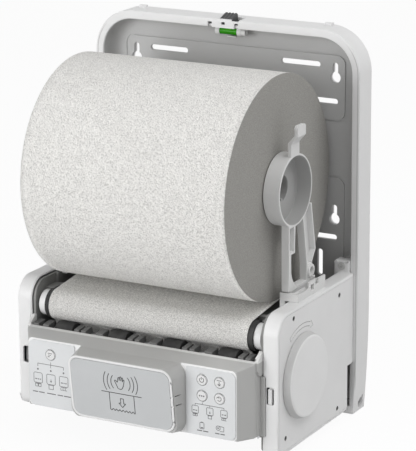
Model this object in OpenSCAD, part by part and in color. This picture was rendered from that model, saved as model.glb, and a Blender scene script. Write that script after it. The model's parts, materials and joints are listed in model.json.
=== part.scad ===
// Automatic roll towel dispenser with its front cover taken off.
// X runs to the right, Y into the wall, Z up. The wall is the plane Y = 0
// and the foot of the tray is Z = 0. All sizes are in millimetres.

/* [Back tray] */
// How far the tray reaches past the housings on each side
tray_margin = 4; // [2:0.5:8]
// Height of the tray
tray_h = 355; // [350:1:370]
// Radius of the two top corners
tray_corner_r = 39; // [30:1:45]
// How far each side draws in at the foot
tray_taper = 4; // [0:0.5:4.5]
// Height over which the sides draw in
tray_taper_h = 110; // [60:5:130]
// Depth of the rim from the wall
rim_d = 24; // [22:1:28]
// Width of the rim's front face
rim_face_w = 8; // [7.5:0.5:10]
// Wall thickness of the tray
tray_t = 2.5; // [2:0.1:2.7]
// Depth of the floor's front surface from the wall
floor_d = 4.6; // [4:0.2:6]
// Thickness of the floor
floor_t = 2.6; // [2:0.2:3]
// Radius between floor and rim
cove_r = 10; // [6:1:14]
// Height of the raised floor panels
panel_h = 0.8; // [0.4:0.1:1.2]
// Width of the groove round the raised floor panels
panel_groove_w = 1.8; // [1:0.1:2.5]
// Depth of the groove round the raised floor panels
panel_groove_d = 0.7; // [0.4:0.1:1]
// Radius of the cover's hinge holes
hinge_r = 5; // [4:0.5:5.5]
// Depth of the hinge holes from the wall
hinge_d = 9; // [8:0.5:12]
// Height of the hinge holes
hinge_z = 7.4; // [7.4:0.2:9]

/* [Wall fixings] */
// Distance between the keyholes, across
keyhole_dx = 204; // [196:1:206]
// Height of the upper keyholes
keyhole_top_z = 308; // [300:1:312]
// Height of the lower keyholes
keyhole_low_z = 177; // [170:1:184]
// Radius of a keyhole's round end
keyhole_r = 5.2; // [4.5:0.1:5.5]
// Width of a keyhole's neck
keyhole_neck_w = 5.4; // [4.5:0.1:5.8]
// Distance from the round end's centre to the neck's end
keyhole_rise = 10.8; // [8:0.2:13]
// Width of the wall slots
slot_w = 5.2; // [4:0.2:6]
// Length of the wall slots
slot_l = 39.4; // [30:0.2:40]
// Distance between the four main slots, across
slot_dx = 170; // [160:1:172]
// Height of the upper main slots
slot_top_z = 286; // [280:1:292]
// Height of the lower main slots
slot_low_z = 160; // [156:1:164]
// Length of the two upright slots below the main slots
side_slot_l = 24.8; // [16:0.2:30]
// Distance between the two top slots
top_slot_dx = 135; // [124:1:140]
// Height of the two top slots
top_slot_z = 318.5; // [312:0.5:322]

/* [Cover latch] */
// Width of the latch grip
latch_w = 12.6; // [10:0.2:14]
// How far the latch slides
latch_travel = 6; // [4:0.5:7]
// Height of the grip's back edge above the rim
latch_rise = 3.2; // [2:0.1:4]
// Number of grip ribs
latch_ribs = 4; // [3:1:5]

/* [Spirit level] */
// Diameter of the vial
vial_dia = 7.6; // [6:0.2:8]
// Length of the vial that shows
vial_l = 17.6; // [14:0.2:20]
// Length of each end cap
vial_cap_l = 4.4; // [3:0.2:6]

/* [Mechanism housing] */
// Gap between the roll's end and a front strip
side_gap = 15.9; // [14:0.1:17]
// Width of each front strip
strip_w = 14.8; // [14:0.2:15.6]
// Depth of the housings from the wall
mech_d = 174.5; // [174:0.5:180]
// Height of the top of the housings
mech_top = 135; // [133:0.5:138]
// Height of the right housing's bottom
right_foot_z = 8.5; // [6:0.5:12]
// Height of the left housing's bottom
left_foot_z = 15.5; // [12:0.5:17]
// Radius of the front top corners
mech_corner_r = 19; // [12:1:22]
// Radius of the left housing's front bottom corner
left_foot_r = 9; // [4:1:12]
// Radius of the other corners of the housings
small_corner_r = 4; // [3:0.5:6]
// Wall thickness of the housings
shell_t = 2.6; // [2:0.1:3]
// Thickness of the chassis plates
plate_t = 2.5; // [2:0.1:3]
// Radius of the gear cover's screw recesses
cover_hole_r = 2.3; // [2.1:0.1:2.6]
// Width of the windows in the front strips
window_w = 7.4; // [6:0.2:8]
// Height of the windows in the front strips
window_h = 15.6; // [12:0.2:18]
// Distance of the foot of the windows below the housings' top
window_drop = 78.8; // [74:0.2:84]
// Gap between the left front strip and the cover catch behind its window
catch_gap = 2.5; // [2.5:0.1:4]
// Thickness of the cover catch
catch_t = 2; // [1.5:0.1:2.5]

/* [Feed rollers] */
// Distance of the feed roller's axis behind the housings' front
feed_inset = 16.3; // [16:0.1:18]
// Distance of the feed roller's axis below the housings' top
feed_drop = 23.8; // [22:0.1:25]
// Radius of the feed roller's rubber sleeve
feed_r = 13.4; // [12.8:0.1:13.6]
// How far the rubber sleeve reaches past the web on each side
sleeve_over = 4.2; // [3:0.1:5]
// Radius of the white end collars
collar_r = 11.7; // [10:0.1:12]
// Width of an end collar
collar_w = 7; // [6:0.5:7.5]
// Radius of the feed roller's shaft
feed_shaft_r = 4; // [3:0.5:4.5]
// Thickness of the guard strip behind the feed roller
guard_t = 1.4; // [1:0.1:1.4]
// Depth of the guard strip
guard_d = 6.4; // [5:0.1:6.4]
// Distance of the guard's ears behind the feed roller's axis
guard_reach = 4.4; // [3.5:0.1:6]
// Radius of the pinch roller's tyres
pinch_r = 9.3; // [8.8:0.1:9.5]
// Width of a pinch tyre
pinch_w = 18; // [14:0.5:20]
// Distance between pinch tyres
pinch_pitch = 54.7; // [52:0.1:56]
// Radius of the pinch roller's shaft
pinch_shaft_r = 3; // [2.5:0.1:3.5]
// Direction of the pinch roller from the feed roller, in degrees
nip_angle = 243; // [241:0.5:245]

/* [Towel roll] */
// Diameter of a full roll
roll_dia = 200; // [160:1:202]
// Length of the roll
roll_l = 200.6; // [196:0.2:201]
// Gap between a full roll and the wall
roll_gap = 12.6; // [9:0.1:16]
// How far a full roll reaches below the housings' top
roll_sink = 3.7; // [2:0.1:5]
// Inner radius of the core
core_r = 21; // [20:0.5:24]
// Wall thickness of the core
core_t = 2; // [1.5:0.1:3]
// Thickness of the towel web
web_t = 0.5; // [0.4:0.05:0.6]
// How far the web hangs below the guide plate
web_hang = 6; // [2:0.5:12]

/* [Roll arms] */
// Outer radius of the hub cup
cup_r = 32; // [30:0.5:34]
// Wall thickness of the arm
arm_t = 2; // [1.6:0.1:2.4]
// Depth of the hub cup
cup_depth = 15.5; // [13:0.5:17]
// Length of the spigot inside the core
spigot_l = 12; // [8:0.5:13]
// How far the spigot draws in over its length, in radius
spigot_draw = 3.2; // [3:0.1:4]
// Radius of the spigot's bore
spigot_bore_r = 11.5; // [9:0.5:13]
// Width of the thumb tab
tab_w = 16; // [12:0.5:18]
// Thickness of the thumb tab
tab_t = 3.4; // [2.5:0.1:4]
// Width of the arm's front leg
leg_t = 5; // [4:0.5:6]
// Height of the pocket below the hub cup
pocket_h = 24; // [18:1:28]
// Radius of the arm's pivot pin
arm_pin_r = 1.5; // [1:0.1:1.7]

/* [Drive train] */
// Module of all gears
gear_m = 1.25; // [1.2:0.01:1.3]
// Teeth of the hand wheel's gear
wheel_teeth = 63; // [60:1:64]
// Teeth of the feed roller's gear
roller_teeth = 18; // [17:1:18]
// Teeth of the compound gear's large wheel
big_teeth = 40; // [38:1:40]
// Teeth of the compound gear's small wheel
small_teeth = 14; // [14:1:15]
// Teeth of the motor pinion
pinion_teeth = 10; // [10:1:11]
// Play between gear teeth
gear_play = 0.24; // [0.15:0.01:0.3]
// Direction from the roller axis to the hand wheel's axis, in degrees
wheel_angle = 307; // [306:0.5:308]
// Direction from the hand wheel's axis to the compound gear's axis
compound_angle = 340; // [336:1:344]
// Direction from the compound gear's axis to the motor's axis
motor_angle = 60; // [50:1:66]
// Radius of the hand wheel at its foot
wheel_r = 38.5; // [36:0.5:42]
// Radius of the hand wheel's face
wheel_face_r = 37; // [33:0.5:38]
// Height of the hand wheel above the gear cover
wheel_h = 7; // [5:0.5:8]
// Radius of the hand wheel's axle
axle_r = 3; // [2.5:0.1:3.5]
// Radius of the compound gear's pin
gear_pin_r = 2; // [1.5:0.1:2.5]
// Radius of the motor's can
motor_r = 14; // [12:0.5:15]
// Length of the motor's can
motor_l = 38; // [30:1:44]
// Radius of the motor's shaft
motor_shaft_r = 1; // [0.8:0.1:1.2]

/* [Front panel] */
// How far the flat front stands before the housings
panel_proud = 25.5; // [22:0.5:28]
// How far the lip's edge stands before the housings
lip_proud = 6; // [5:0.5:8]
// Distance of the lip's edge below the housings' top
lip_drop = 39; // [38:0.1:41]
// Slope of the top, rise over run
lip_slope = 0.256; // [0.2:0.002:0.28]
// Height of the panel from its bottom to the lip's edge
front_h = 68; // [64:0.5:72]
// Wall thickness of the panel
panel_t = 2; // [1.6:0.1:2.2]
// Distance of the flat front's end from the front strip
flat_inset = 11.8; // [8:0.2:12]
// Width of the slant between the panel's flat front and its knee
panel_slant_w = 9.2; // [7:0.1:9.6]
// Width of the sensor box at its front face
box_w = 103; // [98:1:106]
// Width of the sensor box where it leaves the panel
box_root_w = 111; // [108:1:112]
// How far the middle of the sensor box's face stands before the flat front
box_proud = 15.4; // [13:0.2:17]
// Distance of the face's middle below the top of the flat front
box_drop = 31; // [30:0.5:33]
// Tilt of the sensor box's face, in degrees
box_tilt = 7.5; // [5:0.5:9]
// Height of the sensor box's face
box_h = 59; // [56:0.5:59]
// How far the sensor box's top falls towards its face
box_top_fall = 1.6; // [1:0.1:2]
// Width of the bezel round the sensor plate
bezel_w = 2.2; // [1.8:0.1:2.6]
// Corner radius of the sensor box
box_corner_r = 10; // [7:0.5:12]
// Thickness of the label and sensor plates
label_t = 1.2; // [1:0.1:1.4]
// Gap between a label plate and the end of the flat front
label_gap = 0.9; // [0.5:0.1:3]
// Gap between a label plate and the top of the flat front
label_top_gap = 1.3; // [1:0.1:5]
// Corner radius of a label plate
label_r = 6; // [4:0.5:8]

/* [Buttons] */
// Radius of a push button
button_r = 5; // [4:0.1:5.4]
// How far a push button stands proud
button_rise = 0.8; // [0.7:0.1:1]
// How far a push button travels
button_travel = 0.6; // [0.4:0.1:0.6]
// Distance of the left button from its label's inner edge
left_button_in = 24.6; // [20:0.2:30]
// Distance of the inner right buttons from their label's inner edge
button_in = 15.5; // [13:0.1:17]
// Distance between the right buttons, across
button_dx = 17; // [13:0.2:18]
// Distance of the upper buttons below the top of the flat front
button_drop = 11.6; // [10:0.2:13]
// Distance between the right buttons, up and down
button_dz = 14.4; // [12:0.2:16]

/* [Tear bar] */
// Thickness of the tear bar
tear_t = 1; // [0.8:0.1:1]
// Distance from one saw tooth to the next
tear_pitch = 4; // [3:0.5:6]
// Depth of a saw tooth
tear_tooth = 2.4; // [1.5:0.1:3]
// Gap between the tear bar's end and the chassis plate
tear_side_gap = 6; // [4:0.5:8]
// How far the tear bar hangs below the comb
tear_drop = 5; // [4:0.5:5.5]
// How far the tear bar reaches up behind the comb's foot
tear_rise = 20; // [16:1:24]

/* [Power and control] */
// Gap between the control board's end and the end of the flat front
board_side_gap = 8; // [7:0.5:10]
// Gap between the control board and the panel's foot
board_foot_gap = 4; // [3:0.5:6]
// Gap between the control board and the top of the flat front
board_top_gap = 6; // [5:0.5:8]
// Diameter of a battery cell
cell_dia = 33.2; // [32:0.2:34]
// Length of a battery cell
cell_l = 60; // [58:0.5:61]
// Wall thickness of the battery box
box_t = 2; // [1.5:0.1:2.5]
// Thickness of the control board
board_t = 1.6; // [1.2:0.1:2]
// Distance between the backs of the label plane and the board
board_gap = 8; // [7.5:0.1:9]

/* [Clearances] */
// Gap beside parts that move past each other
move_gap = 0.3; // [0.25:0.01:0.35]
// Gap of a seam between fixed parts
seam_gap = 0.2; // [0.15:0.01:0.25]
// Radial clearance of a running fit
run_gap = 0.08; // [0.05:0.01:0.1]

/* [Hidden] */
$fn = 64;
white = [0.90, 0.90, 0.90];
pale_grey = [0.80, 0.81, 0.82];
mid_grey = [0.62, 0.62, 0.61];
dark_grey = [0.30, 0.30, 0.31];
black = [0.08, 0.08, 0.08];
steel = [0.70, 0.71, 0.73];
paper = [0.87, 0.86, 0.83];
board_green = [0.10, 0.36, 0.20];
over = 0.1;

// The roll's length sets the width of the housings, and they set the tray's
strip_in = roll_l / 2 + side_gap;
mech_half = strip_in + strip_w;
tray_w = 2 * (mech_half + tray_margin);

// Tray outline and floor
in_half = tray_w / 2 - rim_face_w;
in_top = tray_h - rim_face_w;
in_r = tray_corner_r - rim_face_w;
foot_h = rim_face_w;
channel_low = in_top + tray_t;
channel_top = tray_h - tray_t;
panel_half = in_half - 15.5;
panel_r = 8;

// Housings: the chassis plates stand just inside the front strips
plate_in = strip_in - seam_gap - plate_t;
plate_out = strip_in - seam_gap;
back_y = -(rim_d + move_gap);
cover_in = mech_half - shell_t;
deck_z = mech_top - 18.5;
arm_gap_d = 12;
arm_gap_h = 51;
plate_inset = 2.5;

// Roller axes as [Y, Z] points
feed_d = mech_d - feed_inset;
feed_c = [-feed_d, mech_top - feed_drop];
feed_l = roll_l + 2 * sleeve_over;
roll_r = roll_dia / 2;
roll_d = roll_r + roll_gap;
roll_z = mech_top - roll_sink + roll_r;
roll_c = [-roll_d, roll_z];
window_z = mech_top - window_drop;
web_mid = move_gap + web_t / 2;
feed_path_r = feed_r + web_mid;
pinch_path_r = pinch_r + web_mid;
roll_path_r = roll_r + web_mid;
pinch_c = feed_c + (feed_path_r + pinch_path_r) * [cos(nip_angle), sin(nip_angle)];

// Gear axes as [Y, Z] points, each tied to the one that it meshes with
wheel_c = feed_c + gear_m * (wheel_teeth + roller_teeth) / 2 * [cos(wheel_angle), sin(wheel_angle)];
compound_c = wheel_c
  + gear_m * (wheel_teeth + small_teeth) / 2 * [cos(compound_angle), sin(compound_angle)];
motor_c = compound_c + gear_m * (big_teeth + pinion_teeth) / 2 * [cos(motor_angle), sin(motor_angle)];
low_layer = [plate_out + 3.2, plate_out + 6.2];
high_layer = [plate_out + 6.5, plate_out + 10.8];
wheel_turn = wheel_angle + 180;
roller_turn = wheel_angle + 180 / roller_teeth;
small_turn = compound_angle + 180 - (wheel_turn - compound_angle) * wheel_teeth / small_teeth
  - 180 / small_teeth;
big_turn = motor_angle;
pinion_turn = motor_angle + 180 + 180 / pinion_teeth;
wheel_hub_r = 8.5;

// Gear cover screws as [Y, Z] points
cover_screws = [
  [-mech_d + 29.5, mech_top - 8.2], [-rim_d - 30.2, mech_top - 12.3],
  [-rim_d - 32.9, right_foot_z + 8.2], [-mech_d + 14.4, right_foot_z + 14.1]
];
pillar_r = 3.6;
screw_r = 1.25;
screw_head_r = 1.9;

// Module screws hold the housings' top tabs to the tray
tab_size = [15, 11];
tab_x = in_half - seam_gap - tab_size[0] / 2;
tab_z = mech_top + tab_size[1] / 2;
tab_front = rim_d + 2;
tray_boss_h = cove_r + 1.4;
tab_screw_r = 1.8;
tab_head_r = 3.4;
foot_boss_r = 6;

// Roll arms: the cup rests beside the roll's end, and the foot pivots on a pin inside the base
cup_floor_x = roll_l / 2 + 0.7;
arm_out_x = cup_floor_x + cup_depth;
arm_in_x = arm_out_x - 7;
pivot_x = arm_out_x - 3.1;
base_front = roll_d + 14.4;
base_back = roll_d - 39.6;
base_h = 7;
base_in_x = arm_in_x - 1.3;
base_out_x = arm_out_x + 9.5;
base_wall = 4.3;
pivot_z = mech_top + base_h - 3.3;
barrel_r = 3;
foot_z = mech_top + base_h + 0.9;
flare_r = 20;
tab_bend = 6;
lug_c = [-roll_d + 28.6, foot_z + 9];
lug_r = 6;
// Edges of the rear leg: distance behind the roll's axis and height, front edge downwards, back edge upwards
rear_edge = [[13.5, roll_z - 24], [17.6, roll_z - 47.3], [21.6, foot_z + 17.1], [21.6, foot_z]];
rear_back = [[34.6, foot_z], [32.6, foot_z + 16.1], [39.6, foot_z + 26.1], [31, roll_z - 18.3]];

// Front panel: the sensor box's face is a plane tilted about its middle
label_d = mech_d + panel_proud;
lip_d = mech_d + lip_proud;
lip_z = mech_top - lip_drop;
panel_z = lip_z - front_h;
front_top_z = lip_z - lip_slope * (label_d - lip_d);
box_d = label_d + box_proud;
box_z = front_top_z - box_drop;
panel_back = mech_d - 2.2;
panel_side = strip_in - 1.8;
ear_z = lip_z + 7.5;
ear_low = lip_z - 12;
flat_half = strip_in - flat_inset;
label_inner = box_root_w / 2 + 0.6;
label_z0 = panel_z + 0.6;
label_w = flat_half - label_inner - label_gap;
label_h = front_top_z - label_z0 - label_top_gap;
box_in = 3;
board_front = label_d - panel_t - board_gap;
box_foot_z = panel_z + 2;
clip_slots = [-4.4, 4.4];

guide_t = 2;
comb_shelf_rise = 26;
web_drop_y = pinch_c[0] + pinch_path_r;
guide_gap = 0.8;
comb_half = panel_side - panel_t - 0.8;
guide_foot_z = panel_z - 2;
chute_foot_z = guide_foot_z - 7.5;
web_end_z = guide_foot_z - web_hang;
chute_top_z = pinch_c[1] + 1;

// Battery box stands on the chassis floor
chassis_floor_z = left_foot_z + plate_t;
battery_x = -105;
battery_gap = 0.6;
battery_ledge = 4;
battery_back = rim_d + 14;
battery_in = [2 * cell_l + 5, 2 * cell_dia + 3 * battery_gap, cell_dia + 2 * battery_gap];
battery_z = chassis_floor_z + box_t;
contact_half = cell_dia * [0.27, 0.36];

// A flat shape in the Y and Z axes, carried along X
module along_x(x0, x1) {
  translate([x0, 0, 0]) rotate([90, 0, 90]) linear_extrude(x1 - x0) children();
}

// A flat shape in the X and Z axes, carried along Y
module along_y(y0, y1) {
  translate([0, y1, 0]) rotate([90, 0, 0]) linear_extrude(y1 - y0) children();
}

module rod_x(x0, x1, c, r) {
  translate([x0, c[0], c[1]]) rotate([0, 90, 0]) cylinder(h = x1 - x0, r = r);
}

module rod_y(y0, y1, c, r) {
  translate([c[0], y1, c[1]]) rotate([90, 0, 0]) cylinder(h = y1 - y0, r = r);
}

module box(lo, hi) {
  translate(lo) cube(hi - lo);
}

module both_sides() {
  children();
  mirror([1, 0, 0]) children();
}

// A rectangle with a radius for each corner: low left, low right, top right, top left
module rounded(lo, hi, r) {
  corner = [lo, [hi[0], lo[1]], hi, [lo[0], hi[1]]];
  inward = [[1, 1], [-1, 1], [-1, -1], [1, -1]];
  difference() {
    translate(lo) square(hi - lo);
    for (i = [0:3]) if (r[i] > 0) translate(corner[i]) difference() {
      translate(-[r[i], r[i]]) square(2 * r[i]);
      translate(r[i] * inward[i]) circle(r[i]);
      translate(r[i] * inward[i] + (inward[i][0] > 0 ? [0, -3] : [-3, -3]) * r[i]) square([3, 6] * r[i]);
      translate(r[i] * inward[i] + (inward[i][1] > 0 ? [-3, 0] : [-3, -3]) * r[i]) square([6, 3] * r[i]);
    }
  }
}

module even_rounded(lo, hi, r) {
  rounded(lo, hi, [r, r, r, r]);
}

// A slot with round ends, lying along X or standing along Z
module slot(c, l, w, upright = false) {
  translate(c) rotate(upright ? 90 : 0) {
    square([l - w, w], center = true);
    for (s = [-1, 1]) translate([s * (l - w) / 2, 0]) circle(d = w);
  }
}

module keyhole(c) {
  translate(c) {
    circle(keyhole_r);
    translate([-keyhole_neck_w / 2, 0]) square([keyhole_neck_w, keyhole_rise]);
    translate([0, keyhole_rise]) circle(d = keyhole_neck_w);
  }
}

// Outer outline of the tray, set in by d; the sides draw in on a parabola at the foot
function side_x(z, d) = tray_w / 2 - d - tray_taper * pow(max(0, 1 - z / tray_taper_h), 2);

module tray_outline(d) {
  r = tray_corner_r - d;
  top = tray_h - d;
  half = tray_w / 2 - d;
  zs = [for (i = [0:8]) d + (tray_taper_h - d) * i / 8];
  polygon(concat(
    [for (z = zs) [side_x(z, d), z]],
    [[half, top - r], [-half, top - r]],
    [for (i = [8:-1:0]) [-side_x(zs[i], d), zs[i]]]
  ));
  translate([-half + r, top - r - over]) square([2 * (half - r), r + over]);
  for (s = [-1, 1]) translate([s * (half - r), top - r]) circle(r);
}

// Inner outline of the rim, grown by d
module inner_outline(d) {
  r = in_r + d;
  rounded([-in_half - d, foot_h - d], [in_half + d, in_top + d], [0, 0, r, r]);
}

// Hollow fillet between the floor and the rim's inner wall
module cove() {
  low = -floor_d - cove_r;
  for (s = [0, 1]) mirror([s, 0, 0]) {
    translate([0, 0, foot_h]) linear_extrude(in_top - in_r - foot_h) difference() {
      translate([in_half - cove_r, low]) square(cove_r + over);
      translate([in_half - cove_r, low]) circle(cove_r);
    }
    translate([in_half - in_r, -floor_d, in_top - in_r]) rotate([90, 0, 0]) rotate_extrude(angle = 90)
      difference() {
        translate([in_r - cove_r, -over]) square(cove_r + over);
        translate([in_r - cove_r, cove_r]) circle(cove_r);
      }
  }
  along_x(-in_half + in_r, in_half - in_r) difference() {
    translate([low, in_top - cove_r]) square(cove_r + over);
    translate([low, in_top - cove_r]) circle(cove_r);
  }
}

// Outlines of the two raised floor panels, grown by d
module floor_panels(d) {
  r = panel_r + d;
  even_rounded([-panel_half - d, slot_top_z - 17 - d], [panel_half + d, top_slot_z + 9.5 + d], r);
  rounded([-panel_half - d, foot_h + 4 - d], [panel_half + d, slot_low_z + 56 + d], [0, 0, r, r]);
}

module wall_openings() {
  for (s = [-1, 1]) {
    for (z = [keyhole_top_z, keyhole_low_z]) keyhole([s * keyhole_dx / 2, z]);
    for (z = [slot_top_z, slot_low_z]) slot([s * slot_dx / 2, z], slot_l, slot_w);
    slot([s * top_slot_dx / 2, top_slot_z], slot_l, slot_w);
    slot([s * (slot_dx / 2 + 3), slot_low_z - 25], side_slot_l, slot_w, upright = true);
  }
}

// Openings in the rim's front behind which the latch shows
latch_windows = [
  [[-17, in_top - over], [-12.8, in_top + 4.9]], [[-3.3, in_top + 2.9], [0.4, in_top + 5.3]],
  [[9.7, in_top - over], [13.9, in_top + 5]]
];
latch_slot = [[-latch_w / 2 - move_gap, -rim_d + 2], [latch_w / 2 + latch_travel + move_gap, -9.2]];

module back_tray() {
  color(white) difference() {
    union() {
      difference() {
        along_y(-rim_d, 0) tray_outline(0);
        along_y(-rim_d - over, -floor_d) inner_outline(0);
        along_y(-floor_d + floor_t, over) inner_outline(-over);
        along_y(-rim_d + tray_t, over) difference() {
          tray_outline(tray_t);
          inner_outline(tray_t);
        }
      }
      cove();
      along_y(-floor_d - panel_h, -floor_d + over) floor_panels(0);
      for (s = [-1, 1]) {
        for (z = [keyhole_top_z, keyhole_low_z])
          along_y(-floor_d + over, 0)
            slot([s * keyhole_dx / 2, z + keyhole_rise / 2], 32, 16, upright = true);
        rod_y(-floor_d - tray_boss_h, -floor_d + over, [s * tab_x, tab_z], 4.5);
        rod_x(s * in_half - 4, s * in_half + 4, [-hinge_d, hinge_z], min(hinge_r + 2, hinge_z));
        translate([s * 95 + 1 - 3.75, -8, tray_h - over]) cube([7.5, 4, 2.4]);
      }
    }
    along_y(-rim_d, over) wall_openings();
    along_y(-floor_d - over, -floor_d + panel_groove_d) difference() {
      floor_panels(panel_groove_w);
      floor_panels(0);
    }
    for (s = [-1, 1]) {
      rod_y(-rim_d, over, [s * tab_x, tab_z], tab_screw_r - 0.3);
      hinge_out = s * (tray_w / 2 - tray_taper - 4.5);
      rod_x(hinge_out - 6, hinge_out + 6, [-hinge_d, hinge_z], hinge_r);
      translate([hinge_out - 6, -hinge_d + 2, hinge_z + 2.5]) cube([12, 2.6, 4.2]);
    }
    for (w = latch_windows) along_y(-rim_d - over, -rim_d + tray_t + over)
      translate(w[0]) square(w[1] - w[0]);
    box([latch_slot[0][0], latch_slot[0][1], channel_low + over],
        [latch_slot[1][0], latch_slot[1][1], tray_h + 1]);
    box([latch_w / 2 + move_gap, -rim_d - over, tray_h - 1.4],
        [latch_slot[1][0] + 2, latch_slot[1][1], tray_h + 1]);
  }
}

// Sliding latch: a plate in the rim's channel with a ribbed ramp that stands out of the top
module cover_latch() {
  plate = [channel_low + move_gap, channel_top - move_gap];
  back = latch_slot[1][1] - move_gap;
  front = latch_slot[0][1] + move_gap;
  color(dark_grey) {
    box([-latch_w / 2 - 10, front + 0.8, plate[0]], [latch_w / 2 + 3, back + 3, plate[1]]);
    along_x(-latch_w / 2, latch_w / 2) polygon([
      [front, plate[1] - over], [front, tray_h - 0.6], [back - 2, tray_h + latch_rise],
      [back, tray_h + latch_rise], [back, plate[1] - over]
    ]);
    for (i = [0:latch_ribs - 1]) {
      x = -latch_w / 2 + (i + 0.5) * latch_w / latch_ribs;
      along_x(x - 0.7, x + 0.7) polygon([
        [front, tray_h - 0.7], [front, tray_h], [back - 2, tray_h + latch_rise + 0.6],
        [back, tray_h + latch_rise + 0.6], [back, tray_h]
      ]);
    }
  }
}

// Spirit level: the holder hangs from the rim's inner wall and grips the vial's caps
level_y = -floor_d - cove_r + 0.6;
level_z = in_top - vial_dia / 2 - 0.6;

module level_holder() {
  half = vial_l / 2;
  r = vial_dia / 2;
  color(pale_grey) difference() {
    union() {
      for (x = [-half - vial_cap_l, half]) {
        rod_x(x, x + vial_cap_l, [level_y, level_z], r);
        box([x, level_y - 3, level_z], [x + vial_cap_l, level_y - 0.7, in_top]);
      }
      rod_x(half + vial_cap_l - over, half + vial_cap_l + 4, [level_y, level_z], r - 0.5);
      box([-half - 1, level_y + r - 0.6, level_z - 2.5], [half + 1, level_y + r + 1, level_z + 1]);
      box([-2, level_y - 1.5, level_z - r - 1.2], [7, level_y + r + 1, level_z - r - 0.3]);
      box([-2, level_y + r, level_z - r - 1.2], [7, level_y + r + 1, level_z]);
    }
    rod_x(-half - 2, half + 2, [level_y, level_z], r - 0.8);
  }
}

module level_vial() {
  r = vial_dia / 2 - 0.8;
  color([0.24, 0.60, 0.11]) {
    rod_x(-vial_l / 2 - 2, vial_l / 2 + 2, [level_y, level_z], r);
    rod_x(-vial_l / 2, vial_l / 2, [level_y, level_z], r + 0.2);
  }
}

// Side outline of a housing, set in by d: front low, back low, back top and front top corners
module side_outline(foot, d, foot_r) {
  small = max(small_corner_r - d, 0.6);
  rounded([-mech_d + d, foot + d], [back_y - d, mech_top - d],
    [max(foot_r - d, 0.6), small, 0.6, mech_corner_r - d]);
}

// Space behind the housings for the cover's hinge arms
module hinge_arm_gap() {
  translate([back_y - arm_gap_d, -over]) square([arm_gap_d + 1, arm_gap_h]);
}

module screw_tab() {
  difference() {
    along_y(-tab_front, -floor_d - tray_boss_h) rounded(
      [tab_x - tab_size[0] / 2, mech_top - 8], [tab_x + tab_size[0] / 2, mech_top + tab_size[1]],
      [0, 0, 0.6, 3]);
    rod_y(-tab_front - 1, 0, [tab_x, tab_z], tab_screw_r);
    rod_y(-tab_front - 1, -tab_front + 1.6, [tab_x, tab_z], tab_head_r + 0.2);
  }
}

module strip_window() {
  translate([strip_in + 3, -mech_d - over, window_z]) cube([window_w, shell_t + 2 * over, window_h]);
}

module right_housing() {
  color(white) difference() {
    union() {
      along_x(strip_in, mech_half) difference() {
        side_outline(right_foot_z, 0, small_corner_r);
        side_outline(right_foot_z, shell_t, small_corner_r);
      }
      along_x(cover_in - seam_gap - 0.9, cover_in - seam_gap) difference() {
        side_outline(right_foot_z, shell_t - over, small_corner_r);
        side_outline(right_foot_z, shell_t + 1.6, small_corner_r);
      }
      screw_tab();
    }
    along_x(strip_in - 1, mech_half + 1) hinge_arm_gap();
    strip_window();
  }
}

module left_housing() {
  color(white) mirror([1, 0, 0]) difference() {
    union() {
      along_x(strip_in, mech_half) side_outline(left_foot_z, 0, left_foot_r);
      screw_tab();
    }
    along_x(strip_in - 1, cover_in) side_outline(left_foot_z, shell_t, left_foot_r);
    along_x(strip_in - 1, mech_half + 1) hinge_arm_gap();
    strip_window();
  }
}

// Plate behind the left window, which the cover's hook meets
module cover_catch() {
  front = -mech_d + shell_t + catch_gap;
  color(mid_grey) mirror([1, 0, 0])
    box([strip_in + 2, front, window_z - 2], [cover_in, front + catch_t, window_z + window_h + 2]);
}

// Curved arrow round the hand wheel, swept from the front over the top, drawn in by d
module turn_arrow(d) {
  low = wheel_r + 4 + d;
  high = wheel_r + 8.5 - d;
  from = 122 - d;
  to = 70;
  head = 8 - 1.8 * d;
  arc = [for (i = [0:10]) from + (to + d - from) * i / 10];
  translate(wheel_c) {
    polygon(concat([for (a = arc) high * [cos(a), sin(a)]],
      [for (i = [10:-1:0]) low * [cos(arc[i]), sin(arc[i])]]));
    polygon([(high + 1.8) * [cos(to + d), sin(to + d)], (high + low) / 2 * [cos(to - head), sin(to - head)],
      (low - 1.8) * [cos(to + d), sin(to + d)]]);
  }
}

module gear_cover() {
  color(white) difference() {
    along_x(cover_in, mech_half) side_outline(right_foot_z, shell_t + seam_gap, small_corner_r);
    along_x(cover_in - 1, mech_half + 1) hinge_arm_gap();
    rod_x(cover_in - 1, mech_half + 1, wheel_c, wheel_hub_r + 0.8);
    for (c = cover_screws) {
      rod_x(cover_in - 1, mech_half + 1, c, screw_r + 0.15);
      rod_x(cover_in + 0.8, mech_half + 1, c, cover_hole_r);
    }
    along_x(mech_half - 0.4, mech_half + 1) difference() {
      turn_arrow(0);
      turn_arrow(0.7);
    }
  }
}

// Pan head screw along X with a crossed recess, its head's seat at x
module cover_screw(x, c) {
  difference() {
    union() {
      rod_x(x - 9, x + over, c, screw_r);
      rod_x(x, x + 1.1, c, screw_head_r);
    }
    for (turn = [0, 90]) translate([x + 0.6, c[0], c[1]]) rotate([turn, 0, 0])
      cube([1.2, 0.5, 2], center = true);
  }
}

module gear_cover_screws() {
  color(steel) for (c = cover_screws) cover_screw(cover_in + 0.8, c);
}

module module_screws() {
  seat = -tab_front + 1.6;
  color(steel) both_sides() difference() {
    union() {
      rod_y(seat - over, -floor_d + 0.6, [tab_x, tab_z], tab_screw_r - 0.3);
      rod_y(seat - 2, seat, [tab_x, tab_z], tab_head_r);
    }
    for (turn = [0, 90]) translate([tab_x, seat - 2, tab_z]) rotate([0, turn, 0])
      cube([0.8, 2, 3.6], center = true);
  }
}

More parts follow.
